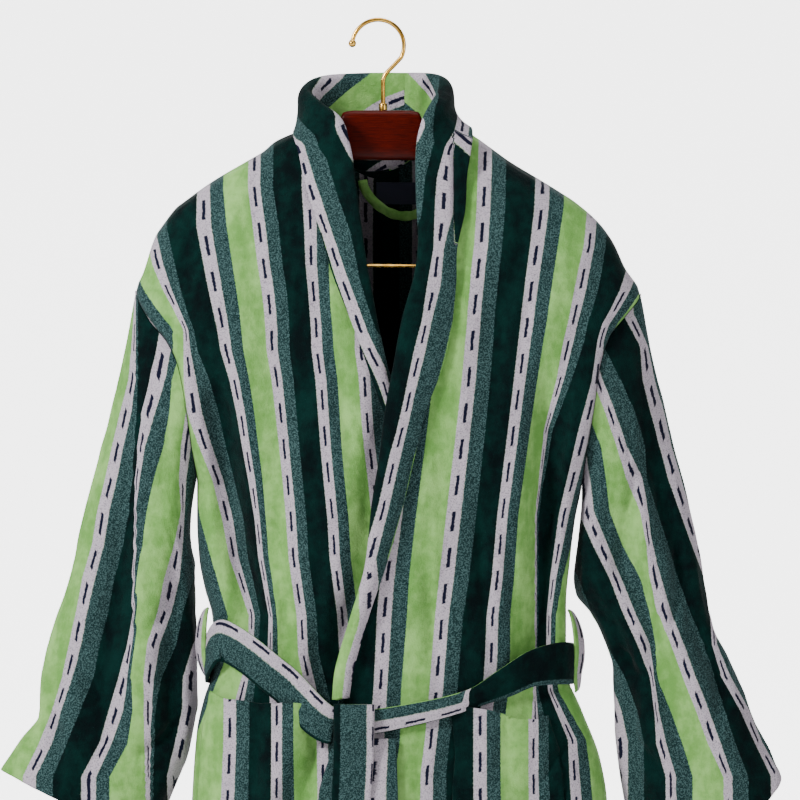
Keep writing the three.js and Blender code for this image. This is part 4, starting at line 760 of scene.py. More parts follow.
def collar_grid(side, along, across):
    points = spline(collar_sections(side), along)
    points = np.swapaxes(spline(np.swapaxes(points, 0, 1), across), 0, 1)
    cloth_rows = np.concatenate([COLLAR_NECK[side]["cloth"], COLLAR_LAPEL[side]["cloth"]])
    at_roll = spline(cloth_rows[:, None], along)[:, 0]
    length = arc_length(points, 1)
    roll = int(round(3 / 7 * (across - 1)))
    sign = SIGN[side]
    out = length - length[:, roll:roll + 1]
    cloth = at_roll[:, None] + sign * out
    seen = across_cloth(f"collar_{side}", points[..., 0], points[..., 2])
    seen_cloth = np.where(out < 0, seen[:, roll:roll + 1] + sign * out, seen)
    lapel = smoothstep((LAPEL_FROM["z"] - points[:, roll:roll + 1, 2]) / LAPEL_FROM["over"])
    lapel = lapel * (points[:, roll:roll + 1, 1] < 0)
    cloth = mix(cloth, seen_cloth, lapel)
    if side == "left":
        x, z = points[..., 0], points[..., 2]
        outer = (x > FALL_OUTER["x"]) & (z > FALL_OUTER["low"]) & (out > 0) & (lapel > 0)
        level = -z - FALL_OUTER["slant"] * (x - FALL_OUTER["slant_x"])
        cloth = np.where(outer, np.interp(level, FALL_OUTER["level"], FALL_OUTER["cloth"]), cloth)
        fade = smoothstep((z - FALL_CREASE["foot"]) / FALL_CREASE["over"])
        crease = np.exp(-((x - FALL_OUTER["x"]) / FALL_CREASE["width"]) ** 2) * fade * (out > 0) * lapel
        points[..., 1] += FALL_CREASE["depth"] * crease
    down = arc_length(points, 0)[:, roll:roll + 1] * np.ones((1, across))
    return points, cloth, down


def right_change(cloth, z):
    return np.where((cloth > 31) & (cloth < 93), -HALF_REPEAT, 0)


def left_change(cloth, z):
    low = z < CHANGE_HEIGHT
    outer = (cloth > 62) & (cloth < 93) & (z < NECK_CHANGE) & (z > FALL_OUTER["low"])
    return np.where(low, HALF_REPEAT, np.where(outer, -HALF_REPEAT, 0))


def belt_frame(angle, out):
    """Middle of the belt at an angle round the waist, and its upright width."""
    across = np.cos(angle)
    upright = np.sin(angle)
    side_reach = np.where(across < 0, HALF["right"](BELT_BACK["z"]), HALF["left"](BELT_BACK["z"])) + out
    x = np.sign(across) * side_reach * np.abs(across) ** (2 / SECTION_POWER)
    to_front = smoothstep(np.maximum(-upright, 0) / 0.5)
    z = mix(BELT_BACK["z"], curve(BELT_FRONT, "x", "z")(x), to_front)
    width = mix(BELT_BACK["width"], curve(BELT_FRONT, "x", "width")(x), to_front)
    deep = np.where(upright < 0, DEPTH["front"](z), DEPTH["back"](z)) + out
    y = np.sign(upright) * deep * np.abs(upright) ** (2 / SECTION_POWER)
    return x, y, z, width


def belt_angle(x):
    side = "right" if x < 0 else "left"
    reach = float(HALF[side](BELT_BACK["z"])) + BELT_OUT
    return math.asin((abs(x) / reach) ** (SECTION_POWER / 2))


def strap(centre, out, width, thick, around, pinch):
    """A flat doubled strap along a line of middle points, with round edges."""
    turn = np.linspace(0, 2 * np.pi, around + 1)
    along = np.gradient(centre, axis=0)
    along /= np.linalg.norm(along, axis=1, keepdims=True)
    up = np.cross(along, out)
    up /= np.linalg.norm(up, axis=1, keepdims=True)
    flat = np.sign(np.cos(turn)) * np.abs(np.cos(turn)) ** STRAP_ROUND["flat"]
    round_edge = np.sign(np.sin(turn)) * np.abs(np.sin(turn)) ** STRAP_ROUND["edge"]
    reach = flat[:, None, None] * (width / 2)[None, :, None] * up[None]
    wave = 1 - pinch * np.cos(3 * np.pi * flat)[:, None, None]
    rise = round_edge[:, None, None] * (thick / 2)[None, :, None] * wave * out[None]
    points = centre[None] + reach + rise
    cloth = (turn / (2 * np.pi))[:, None] * (2 * width)[None, :]
    return points, cloth


def belt_piece():
    start = -math.pi / 2 - belt_angle(BELT_ENDS["right"])
    end = -5 * math.pi / 2 - belt_angle(BELT_ENDS["left"])
    steps = BELT_CLOTH["steps"]
    angle = np.linspace(start, end, steps)
    x, y, z, width = belt_frame(angle, BELT_OUT + BELT_CLOTH["lift"])
    centre = np.stack([x, y, z], axis=1)
    further = np.stack(belt_frame(angle, BELT_OUT + 12)[:2], axis=1)
    out = np.zeros_like(centre)
    out[:, :2] = further - centre[:, :2]
    out /= np.linalg.norm(out, axis=1, keepdims=True)
    centre[:, 2] += BELT_CLOTH["sag"] * np.sin(np.linspace(0, BELT_TURNS["sag"], steps))
    uneven = BELT_CLOTH["uneven"] * np.sin(np.linspace(0, BELT_TURNS["uneven"], steps))
    thick = np.full(steps, BELT_CLOTH["thick"]) + uneven
    points, cloth = strap(centre, out, width, thick, 44, BELT_CLOTH["pinch"])
    turned = smoothstep((x - BELT_BANDS["turn_x"]) / BELT_BANDS["turn_over"]) * BELT_BANDS["turn"]
    left_part = (x > BELT_BANDS["from"]) & (y < 0)
    cloth = cloth * BELT_BACK["width"] / width[None]
    cloth = np.where(left_part[None], BELT_BANDS["left"] - turned[None] - cloth, BELT_BANDS["right"] + cloth)
    return points, cloth, centre


def tail_piece(name):
    rows = TAILS[name]
    z = np.linspace(rows["z"].max(), rows["z"].min(), TAIL["steps"])
    x = curve(rows, "z", "x")(z)
    width = curve(rows, "z", "width")(z)
    y = -hull_depth("front", x, z) - curve(rows, "z", "out")(z) - TAIL["gap"]
    sway = np.sin((z + 700) / TAIL["sway_length"])
    y += TAIL["sway"] * sway * smoothstep((TAIL["sway_from"] - z) / TAIL["fade"])
    centre = np.stack([x, y, z], axis=1)
    out = np.zeros_like(centre)
    out[:, 1] = -1
    thick = np.full(TAIL["steps"], BELT_CLOTH["thick"])
    if name == "belt_tail_front":
        bulge = np.exp(-((z - KNOT["z"]) / KNOT["height"]) ** 2)
        thick = thick + KNOT["thick"] * bulge
        centre[:, 1] -= KNOT["forward"] * bulge
    points, cloth = strap(centre, out, width, thick, 40, TAIL["pinch"])
    edge, sense = TAIL_BANDS[name]
    return points, edge + sense * cloth, centre


def loop_piece(side):
    sign = SIGN[side]
    top, foot = LOOPS[side]
    share = np.linspace(-0.5, 0.5, 9)[:, None]
    step = np.linspace(0, 1, 40)[None, :]
    z = mix(top, foot, step) + 0 * share
    bulge = np.maximum(np.sin(np.pi * step), 0) ** LOOP["ease"] + 0 * share
    stand = mix(SEAM_GAP, BELT_OUT + DOUBLED + LOOP["slack"], bulge) + LOOP["cloth"]
    turn = math.radians(LOOP["turn"]) * bulge
    x = sign * (HALF[side](z) + stand + share * LOOP["width"] * np.sin(turn))
    y = share * LOOP["width"] * np.cos(turn) + LOOP["forward"] * bulge
    return np.stack([x, y, z], axis=2)


def pocket_grid(side, columns, rows):
    """A patch on the front's own points, moved out by a thickness and the seam's space."""
    pocket = POCKETS[side]
    sign = SIGN[side]
    share = np.linspace(pocket["inner"], pocket["outer"], columns + 1)[:, None]
    top = np.interp(share, *np.array(pocket["top"]).T)
    step = np.linspace(0, 1, rows + 1)[None, :]
    z = mix(top, pocket["foot"], step)
    x = mix(EDGE[side](z), sign * panel_reach(side, z), share)
    lap = underlap(x, z) if side == "right" else 0
    y = front_y(x, z) + lap
    points = np.stack([x, y, z], axis=2)
    normal = grid_normals(points)
    normal *= np.where(normal[..., 1:2] > 0, -1, 1)
    rim = np.minimum(share - pocket["inner"], pocket["outer"] - share) * POCKET["rim"]
    puff = smoothstep(np.minimum(rim, 1 - step) / 2) * POCKET["puff"]
    across = (share - pocket["inner"]) / (pocket["outer"] - pocket["inner"])
    below = top - z
    mouth = POCKET_MOUTH
    hem = np.exp(-((below - mouth["edge"]) / mouth["edge_width"]) ** 2) * mouth["edge_height"]
    hem += mouth["stand"] * np.exp(-below / mouth["fade"]) * np.sin(np.pi * across) ** 0.8
    stitch = np.exp(-((below - POCKET["stitch"]) / POCKET["stitch_width"]) ** 2) * -POCKET["stitch_depth"]
    return points + normal * (VELOUR + SEAM_GAP + puff + hem + stitch)[..., None]


def grid_normals(points):
    along = np.gradient(points, axis=0)
    down = np.gradient(points, axis=1)
    normal = np.cross(along, down)
    return normal / np.maximum(np.linalg.norm(normal, axis=2, keepdims=True), 1e-9)


def tube(path, radius, around):
    """Rings of points round a path."""
    along = np.gradient(path, axis=0)
    along /= np.linalg.norm(along, axis=1, keepdims=True)
    side = np.cross(along, np.array([0, 1.0, 0.02]))
    side /= np.linalg.norm(side, axis=1, keepdims=True)
    other = np.cross(along, side)
    turn = np.linspace(0, 2 * np.pi, around + 1)[:, None, None]
    size = np.asarray(radius, float)[None, :, None]
    return path[None] + size * (np.cos(turn) * side[None] + np.sin(turn) * other[None])


# Cloth with a lit outer face, and an inner face in a darkened material that paints the shade inside the robe
BOTH_FACES = ("velour_in_stripes", "velour_inside_shaded")


def new_grid(name, points, cloth=None, down=None, flip=False, thickness=0.0, offset=-1.0, weld=False,
             materials=("velour_in_stripes",), change=None):
    """A mesh grid shaped to an array of points, with its place on the cloth as its UVs."""
    columns, rows = points.shape[:2]
    bpy.ops.object.select_all(action="DESELECT")
    bpy.ops.mesh.primitive_grid_add(x_subdivisions=columns - 1, y_subdivisions=rows - 1, size=2)
    piece = bpy.context.object
    piece.name = name
    mesh = piece.data
    mesh.name = name
    if len(mesh.vertices) != columns * rows:
        raise RuntimeError(f"{name}: the grid has {len(mesh.vertices)} vertices, not {columns * rows}")
    flat = np.zeros(len(mesh.vertices) * 3)
    mesh.vertices.foreach_get("co", flat)
    place = flat.reshape(-1, 3)
    i = np.rint((place[:, 0] + 1) / 2 * (columns - 1)).astype(int)
    j = np.rint((1 - place[:, 1]) / 2 * (rows - 1)).astype(int)
    mesh.vertices.foreach_set("co", (points[i, j] * MM).ravel())
    corners = np.zeros(len(mesh.loops), int)
    mesh.loops.foreach_get("vertex_index", corners)
    u = points[..., 0] if cloth is None else cloth
    v = -points[..., 2] if down is None else down
    layer = mesh.uv_layers[0]
    layer.name = "cloth"
    u_corner = u[i, j][corners].reshape(-1, 4)
    if change is not None:
        middle_z = points[i, j, 2][corners].reshape(-1, 4).mean(axis=1)
        u_corner = u_corner + change(u_corner.mean(axis=1), middle_z)[:, None]
    uv = np.stack([u_corner.ravel(), v[i, j][corners]], axis=1) * MM
    layer.data.foreach_set("uv", uv.ravel())
    mesh.update()
    if flip:
        mesh.flip_normals()
    for kind in materials:
        mesh.materials.append(material(kind))
    if weld:
        apply_modifier(piece, "WELD", merge_threshold=0.00005)
    if thickness:
        inner = len(materials) - 1
        apply_modifier(piece, "SOLIDIFY", thickness=thickness * MM, offset=offset, material_offset=inner)
    bpy.ops.object.shade_smooth()
    return piece


def apply_modifier(piece, kind, **settings):
    bpy.ops.object.modifier_add(type=kind)
    modifier = piece.modifiers[-1]
    for key, value in settings.items():
        setattr(modifier, key, value)
    bpy.ops.object.modifier_apply(modifier=modifier.name)


def outward(points):
    """Whether a closed strap or tube of points needs its faces turned to point out."""
    centre = points[:-1].mean(axis=0, keepdims=True)
    return float(np.sum(grid_normals(points) * (points - centre))) > 0


def closed_ends(points):
    """The same rings with one more at each end, drawn in to its middle."""
    first = points[:, :1].mean(axis=0, keepdims=True) + 0 * points[:, :1]
    last = points[:, -1:].mean(axis=0, keepdims=True) + 0 * points[:, -1:]
    return np.concatenate([first, points, last], axis=1)


def new_tube(name, points, cloth=None, down=None, materials=("velour_in_stripes",)):
    ends = closed_ends(points)
    if cloth is not None:
        cloth = np.concatenate([cloth[:, :1], cloth, cloth[:, -1:]], axis=1)
        down = np.concatenate([down[:, :1], down, down[:, -1:]], axis=1)
    return new_grid(name, ends, cloth, down, flip=outward(points), weld=True, materials=materials)


def finish_piece(piece, node):
    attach(piece, "root")
    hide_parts(node)


def repaint(node, kind):
    """Gives a solid that stays as it is the finish of the real one."""
    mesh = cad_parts[node].data
    mesh.materials.clear()
    mesh.materials.append(material(kind))


class Shade:
    """A socket of a material, so that its shader can be written as sums and products."""

    def __init__(self, tree, socket):
        self.tree = tree
        self.socket = socket

    def math(self, operation, *others):
        return self.tree.node("ShaderNodeMath", [self, *others], operation=operation)

    def __add__(self, other):
        return self.math("ADD", other)

    __radd__ = __add__

    def __sub__(self, other):
        return self.math("SUBTRACT", other)

    def __rsub__(self, other):
        return (self * -1) + other

    def __mul__(self, other):
        return self.math("MULTIPLY", other)

    __rmul__ = __mul__

    def __mod__(self, other):
        return self.math("FLOORED_MODULO", other)

    def step(self, low, high):
        """0 below low, 1 above high, and a smooth rise between them."""
        return self.tree.node(
            "ShaderNodeMapRange", {"Value": self, "From Min": low, "From Max": high},
            interpolation_type="SMOOTHSTEP",
        )

    def band(self, low, high, soft):
        return self.step(low - soft, low + soft) * (1 - self.step(high - soft, high + soft))


class Surface:
    """A material with one Principled shader, and the method that makes its nodes."""

    def __init__(self, name, constants):
        self.material = bpy.data.materials.new(name)
        self.material.use_nodes = True
        self.nodes = self.material.node_tree.nodes
        self.links = self.material.node_tree.links
        self.shader = self.nodes["Principled BSDF"]
        for key, value in constants.items():
            self.shader.inputs[key].default_value = value

    def node(self, kind, inputs, output=0, **settings):
        node = self.nodes.new(kind)
        for key, value in settings.items():
            setattr(node, key, value)
        pairs = inputs.items() if isinstance(inputs, dict) else enumerate(inputs)
        for key, value in pairs:
            socket = node.inputs[key]
            if isinstance(value, Shade):
                self.links.new(value.socket, socket)
            else:
                socket.default_value = value
        return Shade(self, node.outputs[output])

    def cloth(self):
        """Place across and down the cloth, in millimetres."""
        uv = self.node("ShaderNodeUVMap", {}, uv_map="cloth")
        parts = self.node("ShaderNodeSeparateXYZ", [uv])
        down = Shade(self, parts.socket.node.outputs[1])
        return parts * 1000, down * 1000, uv

    def place(self):
        return self.node("ShaderNodeTexCoord", {}, output="Object")

    def noise(self, vector, scale, detail=2.0, rough=0.5):
        return self.node(
            "ShaderNodeTexNoise",
            {"Vector": vector, "Scale": scale, "Detail": detail, "Roughness": rough},
        )

    def stretched(self, vector, factors):
        return self.node("ShaderNodeVectorMath", [vector, factors], operation="MULTIPLY")

    def mixed(self, factor, first, second):
        """Two colours mixed; a colour is a socket or three numbers."""
        values = {0: factor}
        for index, value in ((6, first), (7, second)):
            values[index] = value if isinstance(value, Shade) else (*value, 1.0)
        return self.node("ShaderNodeMix", values, output=2, data_type="RGBA")

    def paint(self, color=None, roughness=None, height=None, distance=0.001, strength=1.0):
        if color is not None:
            self.links.new(color.socket, self.shader.inputs["Base Color"])
        if roughness is not None:
            self.links.new(roughness.socket, self.shader.inputs["Roughness"])
        if height is not None:
            bump = self.node("ShaderNodeBump", {"Height": height, "Distance": distance, "Strength": strength})
            self.links.new(bump.socket, self.shader.inputs["Normal"])
        return self.material


# Band colours. The dark green's second colour is a painted sheen of the pile, and the deeper apple green is a
# painted shade of it
BOTTLE = (0.0002, 0.0030, 0.0036)
BOTTLE_SHEEN = (0.0006, 0.0150, 0.0125)
APPLE = (0.245, 0.46, 0.135)
APPLE_PILE_SHADE = (0.085, 0.23, 0.042)
TEAL = (0.0055, 0.018, 0.0185)
TEAL_PALE = (0.046, 0.092, 0.092)
LILAC = (0.40, 0.355, 0.405)
LILAC_DEEP = (0.18, 0.155, 0.19)
NAVY = (0.004, 0.005, 0.016)
REPEAT = 124.0
# How dark the painted shade on the robe's inner faces is
INSIDE_SHADE = 0.5


def velour_material(name, striped=True, tone=1.0):
    """Sheared velour in lengthwise bands, with heather in the grey ones and broken navy lines."""
    surface = Surface(name, {"Sheen Weight": 0.025, "Sheen Roughness": 0.35, "Specular IOR Level": 0.06})
    across, down, uv = surface.cloth()
    space = surface.place()
    edge = surface.noise(uv, 420, 3, 0.6)
    place = (across + (edge - 0.5) * 2.6) % REPEAT
    nap = surface.noise(surface.stretched(space, (1.5, 1.5, 0.7)), 24, 4, 0.62)
    soft = surface.noise(space, 90, 3, 0.6)
    speck = surface.noise(space, 760, 2, 0.7)
    grain = surface.noise(space, 1500, 1, 0.5)
    # Painted sheen and shade of the pile: noise patches that lighten the dark green and, with the real
    # heather speckle, shade the apple green
    painted_nap_sheen = (nap * 0.65 + soft * 0.35).step(0.36, 0.68)
    dark = surface.mixed(painted_nap_sheen, BOTTLE, BOTTLE_SHEEN)
    # Apple green: painted pile shade from the nap mask, together with the cloth's real speckle
    light = surface.mixed(painted_nap_sheen * 0.75 + speck * 0.3, APPLE_PILE_SHADE, APPLE)
    heather = surface.mixed(speck.step(0.44, 0.62), TEAL, TEAL_PALE)
    lilac = surface.mixed(speck.step(0.30, 0.55), LILAC_DEEP, LILAC)
    color = light
    if striped:
        for low, high, shade in (
            (-5, 31, dark), (46, 62, heather), (108, 130, heather), (31, 46, lilac), (93, 108, lilac),
        ):
            color = surface.mixed(place.band(low, high, 0.5), color, shade)
        jag = surface.noise(uv, 160, 1, 0.5)
        run = (down + across * 0.21) % 36.0
        inside = run.band(8, 28, 0.5)
        slant = (jag - 0.5) * 1.8
        line = (place + slant).band(36.8, 40.4, 0.45) + (place + slant).band(98.8, 102.4, 0.45)
        color = surface.mixed(inside * line, color, NAVY)
    # Painted shade: the colour of the inner faces is mixed towards black
    if tone != 1:
        color = surface.mixed(tone, (0, 0, 0), color)
    pile = grain * 0.4 + speck * 0.5 + soft * 1.2
    rough = 0.8 + speck * 0.2
    return surface.paint(color, rough, pile, 0.0024, 0.7)


def wood_material():
    surface = Surface(
        "mahogany_stain", {"Coat Weight": 0.08, "Coat Roughness": 0.25, "Specular IOR Level": 0.06})
    space = surface.place()
    grain = surface.noise(surface.stretched(space, (5, 60, 60)), 14, 6, 0.65)
    pores = surface.noise(surface.stretched(space, (8, 120, 120)), 60, 3, 0.7)
    tone = (grain * 0.75 + pores * 0.25).step(0.32, 0.66)
    color = surface.mixed(tone, (0.020, 0.0008, 0.0001), (0.060, 0.0026, 0.0002))
    return surface.paint(color, 0.26 + pores * 0.18, grain * 0.4 + pores * 0.6, 0.0003, 0.35)


def brass_material():
    surface = Surface("lacquered_brass", {"Metallic": 1.0})
    space = surface.place()
    tarnish = surface.noise(space, 130, 4, 0.6)
    scratch = surface.noise(surface.stretched(space, (9, 9, 1.6)), 420, 2, 0.5)
    color = surface.mixed(tarnish.step(0.35, 0.7), (0.50, 0.27, 0.045), (0.74, 0.45, 0.11))
    return surface.paint(color, 0.16 + tarnish * 0.16, scratch, 0.00005, 0.25)


def label_material():
    surface = Surface("navy_weave", {"Sheen Weight": 0.1, "Specular IOR Level": 0.35})
    space = surface.place()
    weave = surface.node(
        "ShaderNodeTexWave", {"Vector": space, "Scale": 620.0, "Distortion": 0.4}, output=1,
        bands_direction="Z",
    )
    color = surface.mixed(weave, (0.002, 0.0025, 0.016), (0.006, 0.0075, 0.03))
    return surface.paint(color, 0.45 + weave * 0.15, weave, 0.0002, 0.6)


def studio_material(name, tone, glow):
    surface = Surface(
        name, {"Specular IOR Level": 0.1, "Emission Color": (1, 1, 1, 1), "Emission Strength": glow})
    mottle = surface.noise(surface.place(), 3, 2, 0.5)
    low = tuple(0.985 * part for part in tone)
    return surface.paint(surface.mixed(mottle, low, tone), 0.8 + mottle * 0.1)


def material(name):
    """The named material, made once."""
    makers = {
        "velour_in_stripes": lambda: velour_material("velour_in_stripes"),
        "velour_inside_shaded": lambda: velour_material("velour_inside_shaded", tone=INSIDE_SHADE),
        "velour_plain": lambda: velour_material("velour_plain", striped=False),
        "mahogany_stain": wood_material,
        "lacquered_brass": brass_material,
        "navy_weave": label_material,
    }
    return bpy.data.materials.get(name) or makers[name]()


class RobeSettings(bpy.types.PropertyGroup):
    """Sizes of the robe's cloth and the fineness of its meshes."""

    velour: bpy.props.FloatProperty(
        name="Velour", description="Thickness of one layer of the cloth", default=VELOUR * MM, unit="LENGTH")
    doubled: bpy.props.FloatProperty(
        name="Doubled", description="Thickness of the collar's two layers", default=DOUBLED * MM,
        unit="LENGTH")
    columns: bpy.props.IntProperty(
        name="Columns", description="Faces across a front panel", default=96)
    rows: bpy.props.IntProperty(
        name="Rows", description="Faces down a panel", default=230)


class StudioSettings(bpy.types.PropertyGroup):
    """Lights and camera of the studio."""

    distance: bpy.props.FloatProperty(
        name="Distance", description="From the camera to the robe", default=CAMERA["distance"], unit="LENGTH")
    key: bpy.props.FloatProperty(
        name="Key light", description="Power of the main light", default=205.0, unit="POWER")
    fill: bpy.props.FloatProperty(
        name="Fill light", description="Power of the light on the other side", default=24.0, unit="POWER")
    sky: bpy.props.FloatProperty(
        name="Sky", description="Strength of the light from all round", default=0.2)


class ROBE_OT_body(bpy.types.Operator):
    """Cut and hang the two fronts and the back"""

    bl_idname = "robe.body"
    bl_label = "Body"

    def execute(self, context):
        settings = context.scene.robe
        cloth = settings.velour / MM
        for side, sense in (("right", True), ("left", False)):
            points = front_grid(side, settings.columns, settings.rows)
            place = across_cloth(f"front_{side}", points[..., 0], points[..., 2])
            piece = new_grid(
                f"robe_front_{side}", points, place, flip=sense, thickness=cloth, materials=BOTH_FACES)
            finish_piece(piece, f"front_{side}")
        points = back_grid(int(settings.columns * BACK["columns"]), settings.rows)
        length = arc_length(points, 0)
        middle = points.shape[0] // 2
        place = BACK["middle"] - (length - length[middle:middle + 1])
        piece = new_grid("robe_back", points, place, flip=True, thickness=cloth, materials=BOTH_FACES)
        finish_piece(piece, "back")
        return {"FINISHED"}


class ROBE_OT_sleeves(bpy.types.Operator):
    """Set the two sleeves into the armholes"""

    bl_idname = "robe.sleeves"
    bl_label = "Sleeves"

    def execute(self, context):
        settings = context.scene.robe
        for side in ("right", "left"):
            points = sleeve_grid(side, *SLEEVE_FACES)
            half = points.shape[0] // 2
            place = across_cloth(f"sleeve_{side}", points[..., 0], points[..., 2])
            length = arc_length(points[::-1], 0)[::-1]
            back = place[:1] + SIGN[side] * length
            place = np.where(np.arange(points.shape[0])[:, None] > half, back, place)
            down = arc_length(points, 1)
            flip = side == "left"
            piece = new_grid(
                f"robe_sleeve_{side}", points, place, down, flip=flip, thickness=settings.velour / MM,
                weld=True, materials=BOTH_FACES)
            finish_piece(piece, f"sleeve_{side}")
        return {"FINISHED"}


class ROBE_OT_collar(bpy.types.Operator):
    """Turn the shawl collar over, in two halves joined at the centre back"""

    bl_idname = "robe.collar"
    bl_label = "Collar"

    def execute(self, context):
        settings = context.scene.robe
        for side in ("right", "left"):
            points, place, down = collar_grid(side, *COLLAR_POINTS)
            back = points[..., 1] > COLLAR_SEAM["behind"]
            keep = np.minimum if side == "right" else np.maximum
            points[..., 0] = np.where(back, keep(points[..., 0], COLLAR_SEAM["x"]), points[..., 0])
            flip = side == "left"
            piece = new_grid(
                f"robe_collar_{side}", points, place, down, flip=flip, thickness=settings.doubled / MM,
                offset=0.0, change=right_change if side == "right" else left_change)
            finish_piece(piece, f"collar_{side}")
        return {"FINISHED"}


class ROBE_OT_pockets(bpy.types.Operator):
    """Sew a patch pocket on each front"""

    bl_idname = "robe.pockets"
    bl_label = "Pockets"

    def execute(self, context):
        settings = context.scene.robe
        for side, sense in (("right", True), ("left", False)):
            points = pocket_grid(side, *POCKET_FACES)
            level = np.minimum(points[..., 2], POCKETS[side]["bands"])
            place = across_cloth(f"front_{side}", points[..., 0], level)
            piece = new_grid(
                f"robe_pocket_{side}", points, place, flip=sense, thickness=settings.velour / MM)
            finish_piece(piece, f"pocket_{side}")
        return {"FINISHED"}


class ROBE_OT_belt(bpy.types.Operator):
    """Tie the belt, with its tails and the two loops that carry it"""

    bl_idname = "robe.belt"
    bl_label = "Belt"

    def execute(self, context):
        points, cloth, centre = belt_piece()
        down = np.ones((points.shape[0], 1)) * arc_length(centre[None], 1)
        piece = new_tube("robe_belt", points, cloth, down)
        finish_piece(piece, "belt")
        for name in TAILS:
            points, cloth, centre = tail_piece(name)
            down = np.ones((points.shape[0], 1)) * arc_length(centre[None], 1)
            piece = new_tube(f"robe_{name}", points, cloth, down)
            finish_piece(piece, name)
        for side in ("right", "left"):
            points = loop_piece(side)
            place = LOOP["band"] + np.linspace(0, LOOP["wide"], points.shape[0])[:, None] + 0 * points[..., 0]
            flip = side == "right"
            piece = new_grid(f"robe_belt_loop_{side}", points, place, flip=flip, thickness=LOOP["cloth"])
            finish_piece(piece, f"belt_loop_{side}")
        return {"FINISHED"}


class ROBE_OT_neck(bpy.types.Operator):
    """Sew the loop and the plain label inside the back of the neck"""

    bl_idname = "robe.neck"
    bl_label = "Hang loop and label"

    def execute(self, context):
        share = np.linspace(0, 1, 90)
        x = HANG_LOOP["x"] + HANG_LOOP["half"] * (2 * share - 1)
        bow = np.maximum(np.sin(np.pi * share), 0)
        z = HANG_LOOP["top"] - HANG_LOOP["drop"] * bow ** HANG_LOOP["round"]
        forward = VELOUR + HANG_LOOP["off"] + HANG_LOOP["thick"] / 2 + HANG_LOOP["forward"] * bow
        path = np.stack([x, back_y(x, z) - forward, z], axis=1)
        uneven = HANG_LOOP["uneven"] * np.sin(share * HANG_LOOP["uneven_turn"]) * bow
        radius = HANG_LOOP["thick"] / 2 + uneven
        points = tube(path, radius, 24)
        piece = new_tube("robe_hang_loop", points, materials=("velour_plain",))
        finish_piece(piece, "hang_loop")
        repaint("neck_label", "navy_weave")
        return {"FINISHED"}


class ROBE_OT_hanger(bpy.types.Operator):
    """Shape the wooden arms and the brass hook"""

    bl_idname = "robe.hanger"
    bl_label = "Hanger"

    def execute(self, context):
        arm = np.linspace(HANGER["arm"], HANGER["end"], 70)
        reach = np.concatenate([-arm[::-1], np.linspace(-HANGER["block"], HANGER["block"], 61), arm])
        away = np.abs(reach)
        names = {name: curve(HANGER_SECTIONS, "reach", name)(away) for name in ("top", "foot", "half")}
        turn = np.linspace(0, 2 * np.pi, 49)[:, None]
        soft_y = np.sign(np.cos(turn)) * np.abs(np.cos(turn)) ** HANGER["square"]
        soft_z = np.sign(np.sin(turn)) * np.abs(np.sin(turn)) ** HANGER["square"]
        x = reach[None] + HANGER["middle"] + 0 * turn
        y = names["half"][None] * soft_y
        z = (names["top"] + names["foot"])[None] / 2 + (names["top"] - names["foot"])[None] / 2 * soft_z
        piece = new_tube("robe_hanger_arms", np.stack([x, y, z], axis=2), materials=("mahogany_stain",))
        finish_piece(piece, "hanger_arms")
        around = np.radians(np.linspace(-28, 175, 100))
        crown = np.stack([HOOK["x"] + HOOK["radius"] * np.cos(around), 0 * around,
                          HOOK["z"] + HOOK["radius"] * np.sin(around)], axis=1)
        stem = np.array([[HOOK["stem"] + right, 0, z] for right, z in ((0, FERRULE["foot"] + 1), *STEM)])
        path = np.concatenate([spline(np.concatenate([stem, crown[:1]]), 60)[:-1], crown])
        brass = ("lacquered_brass",)
        piece = new_tube("robe_hook", tube(path, np.full(len(path), HOOK["wire"]), 24), materials=brass)
        tip = path[-1]
        level = np.radians(np.linspace(-88, 88, 24))
        ball_path = np.stack([tip[0] + 0 * level, 0 * level, tip[2] + HOOK["ball"] * np.sin(level)], axis=1)
        ball = new_tube("hook_ball", tube(ball_path, HOOK["ball"] * np.cos(level), 32), materials=brass)
        height = np.array([FERRULE["foot"], FERRULE["foot"] + 0.6, -83.2, -82.2, FERRULE["top"]])
        ring = np.stack([HOOK["stem"] + 0 * height, 0 * height, height], axis=1)
        radius = FERRULE["radius"] + np.array([0.0, 0.0, 0.0, -0.3, -1.2])
        ferrule = new_tube("hook_ferrule", tube(ring, radius, 40), materials=brass)
        bpy.ops.object.select_all(action="DESELECT")
        for part in (ball, ferrule, piece):
            part.select_set(True)
        bpy.context.view_layer.objects.active = piece
        bpy.ops.object.join()
        finish_piece(piece, "hanger_hook")
        repaint("hanger_bar", "lacquered_brass")
        return {"FINISHED"}


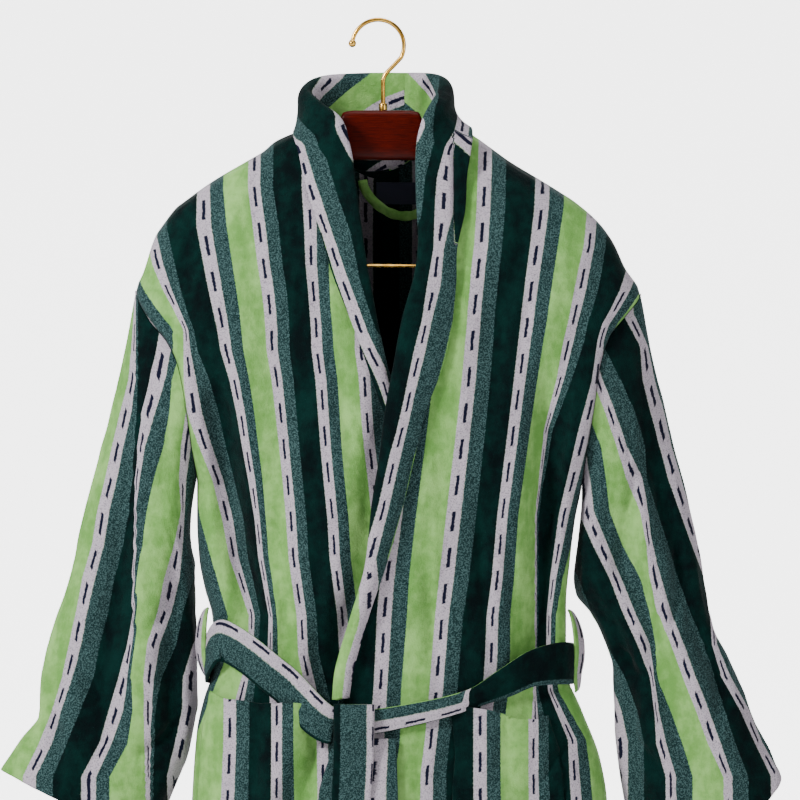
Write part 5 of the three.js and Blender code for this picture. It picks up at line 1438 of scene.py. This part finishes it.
class ROBE_OT_studio(bpy.types.Operator):
    """Set up the pale studio, its soft lights and the camera"""

    bl_idname = "robe.studio"
    bl_label = "Studio"

    def execute(self, context):
        studio = context.scene.robe_studio
        bpy.ops.object.select_all(action="DESELECT")
        for name, place, turn, glow in (
            ("studio_floor", (0, 0, STUDIO["floor"]), (0, 0, 0), STUDIO["floor_glow"]),
            ("studio_wall", (0, STUDIO["wall"], 0), (math.pi / 2, 0, 0), STUDIO["wall_glow"]),
        ):
            bpy.ops.mesh.primitive_plane_add(size=STUDIO["size"], location=place, rotation=turn)
            backdrop = context.object
            backdrop.name = name
            bpy.ops.object.transform_apply(location=True, rotation=True, scale=True)
            backdrop.data.materials.append(studio_material(name, (STUDIO["tone"],) * 3, glow))
        aim = np.array([CAMERA["x"], CAMERA["plane"], CAMERA["z"]])
        for name, power in (("key", studio.key), ("fill", studio.fill), ("top", studio.fill)):
            self.area(name, aim, power)
        world = bpy.data.worlds.new("studio_sky")
        world.use_nodes = True
        world.node_tree.nodes["Background"].inputs["Color"].default_value = (1, 1, 1, 1)
        world.node_tree.nodes["Background"].inputs["Strength"].default_value = studio.sky
        context.scene.world = world
        bpy.ops.object.camera_add(
            location=(CAMERA["x"], CAMERA["plane"] - studio.distance, CAMERA["z"]),
            rotation=(math.pi / 2, 0, 0),
        )
        camera = context.object
        camera.name = "studio_camera"
        camera.data.sensor_width = CAMERA["sensor"]
        camera.data.lens = CAMERA["sensor"] * studio.distance / CAMERA["across"]
        context.scene.camera = camera
        return {"FINISHED"}

    def area(self, name, aim, power):
        """One soft round light, turned to the robe."""
        bpy.ops.object.light_add(type="AREA", location=LIGHTS[name]["place"])
        light = bpy.context.object
        light.name = f"studio_{name}"
        light.data.shape = "DISK"
        light.data.size = LIGHTS[name]["size"]
        light.data.energy = power
        toward = light.location - type(light.location)(aim)
        light.rotation_euler = toward.to_track_quat("Z", "Y").to_euler()


class ROBE_PT_panel(bpy.types.Panel):
    """Buttons that build the robe piece by piece"""

    bl_idname = "ROBE_PT_panel"
    bl_label = "Bathrobe"
    bl_space_type = "VIEW_3D"
    bl_region_type = "UI"
    bl_category = "Robe"

    def draw(self, context):
        layout = self.layout
        for name in ("velour", "doubled", "columns", "rows"):
            layout.prop(context.scene.robe, name)
        for operator in OPERATORS:
            layout.operator(operator.bl_idname)
        for name in ("distance", "key", "fill", "sky"):
            layout.prop(context.scene.robe_studio, name)


OPERATORS = (
    ROBE_OT_body, ROBE_OT_sleeves, ROBE_OT_collar, ROBE_OT_pockets, ROBE_OT_belt, ROBE_OT_neck,
    ROBE_OT_hanger, ROBE_OT_studio,
)
CLASSES = (RobeSettings, StudioSettings, *OPERATORS, ROBE_PT_panel)


def register():
    for item in CLASSES:
        bpy.utils.register_class(item)
    bpy.types.Scene.robe = bpy.props.PointerProperty(type=RobeSettings)
    bpy.types.Scene.robe_studio = bpy.props.PointerProperty(type=StudioSettings)


def unregister():
    del bpy.types.Scene.robe_studio
    del bpy.types.Scene.robe
    for item in reversed(CLASSES):
        bpy.utils.unregister_class(item)


def main():
    register()
    bpy.ops.robe.body()
    bpy.ops.robe.sleeves()
    bpy.ops.robe.collar()
    bpy.ops.robe.pockets()
    bpy.ops.robe.belt()
    bpy.ops.robe.neck()
    bpy.ops.robe.hanger()
    bpy.ops.robe.studio()
    bpy.context.view_layer.update()


if __name__ == "__main__":
    main()
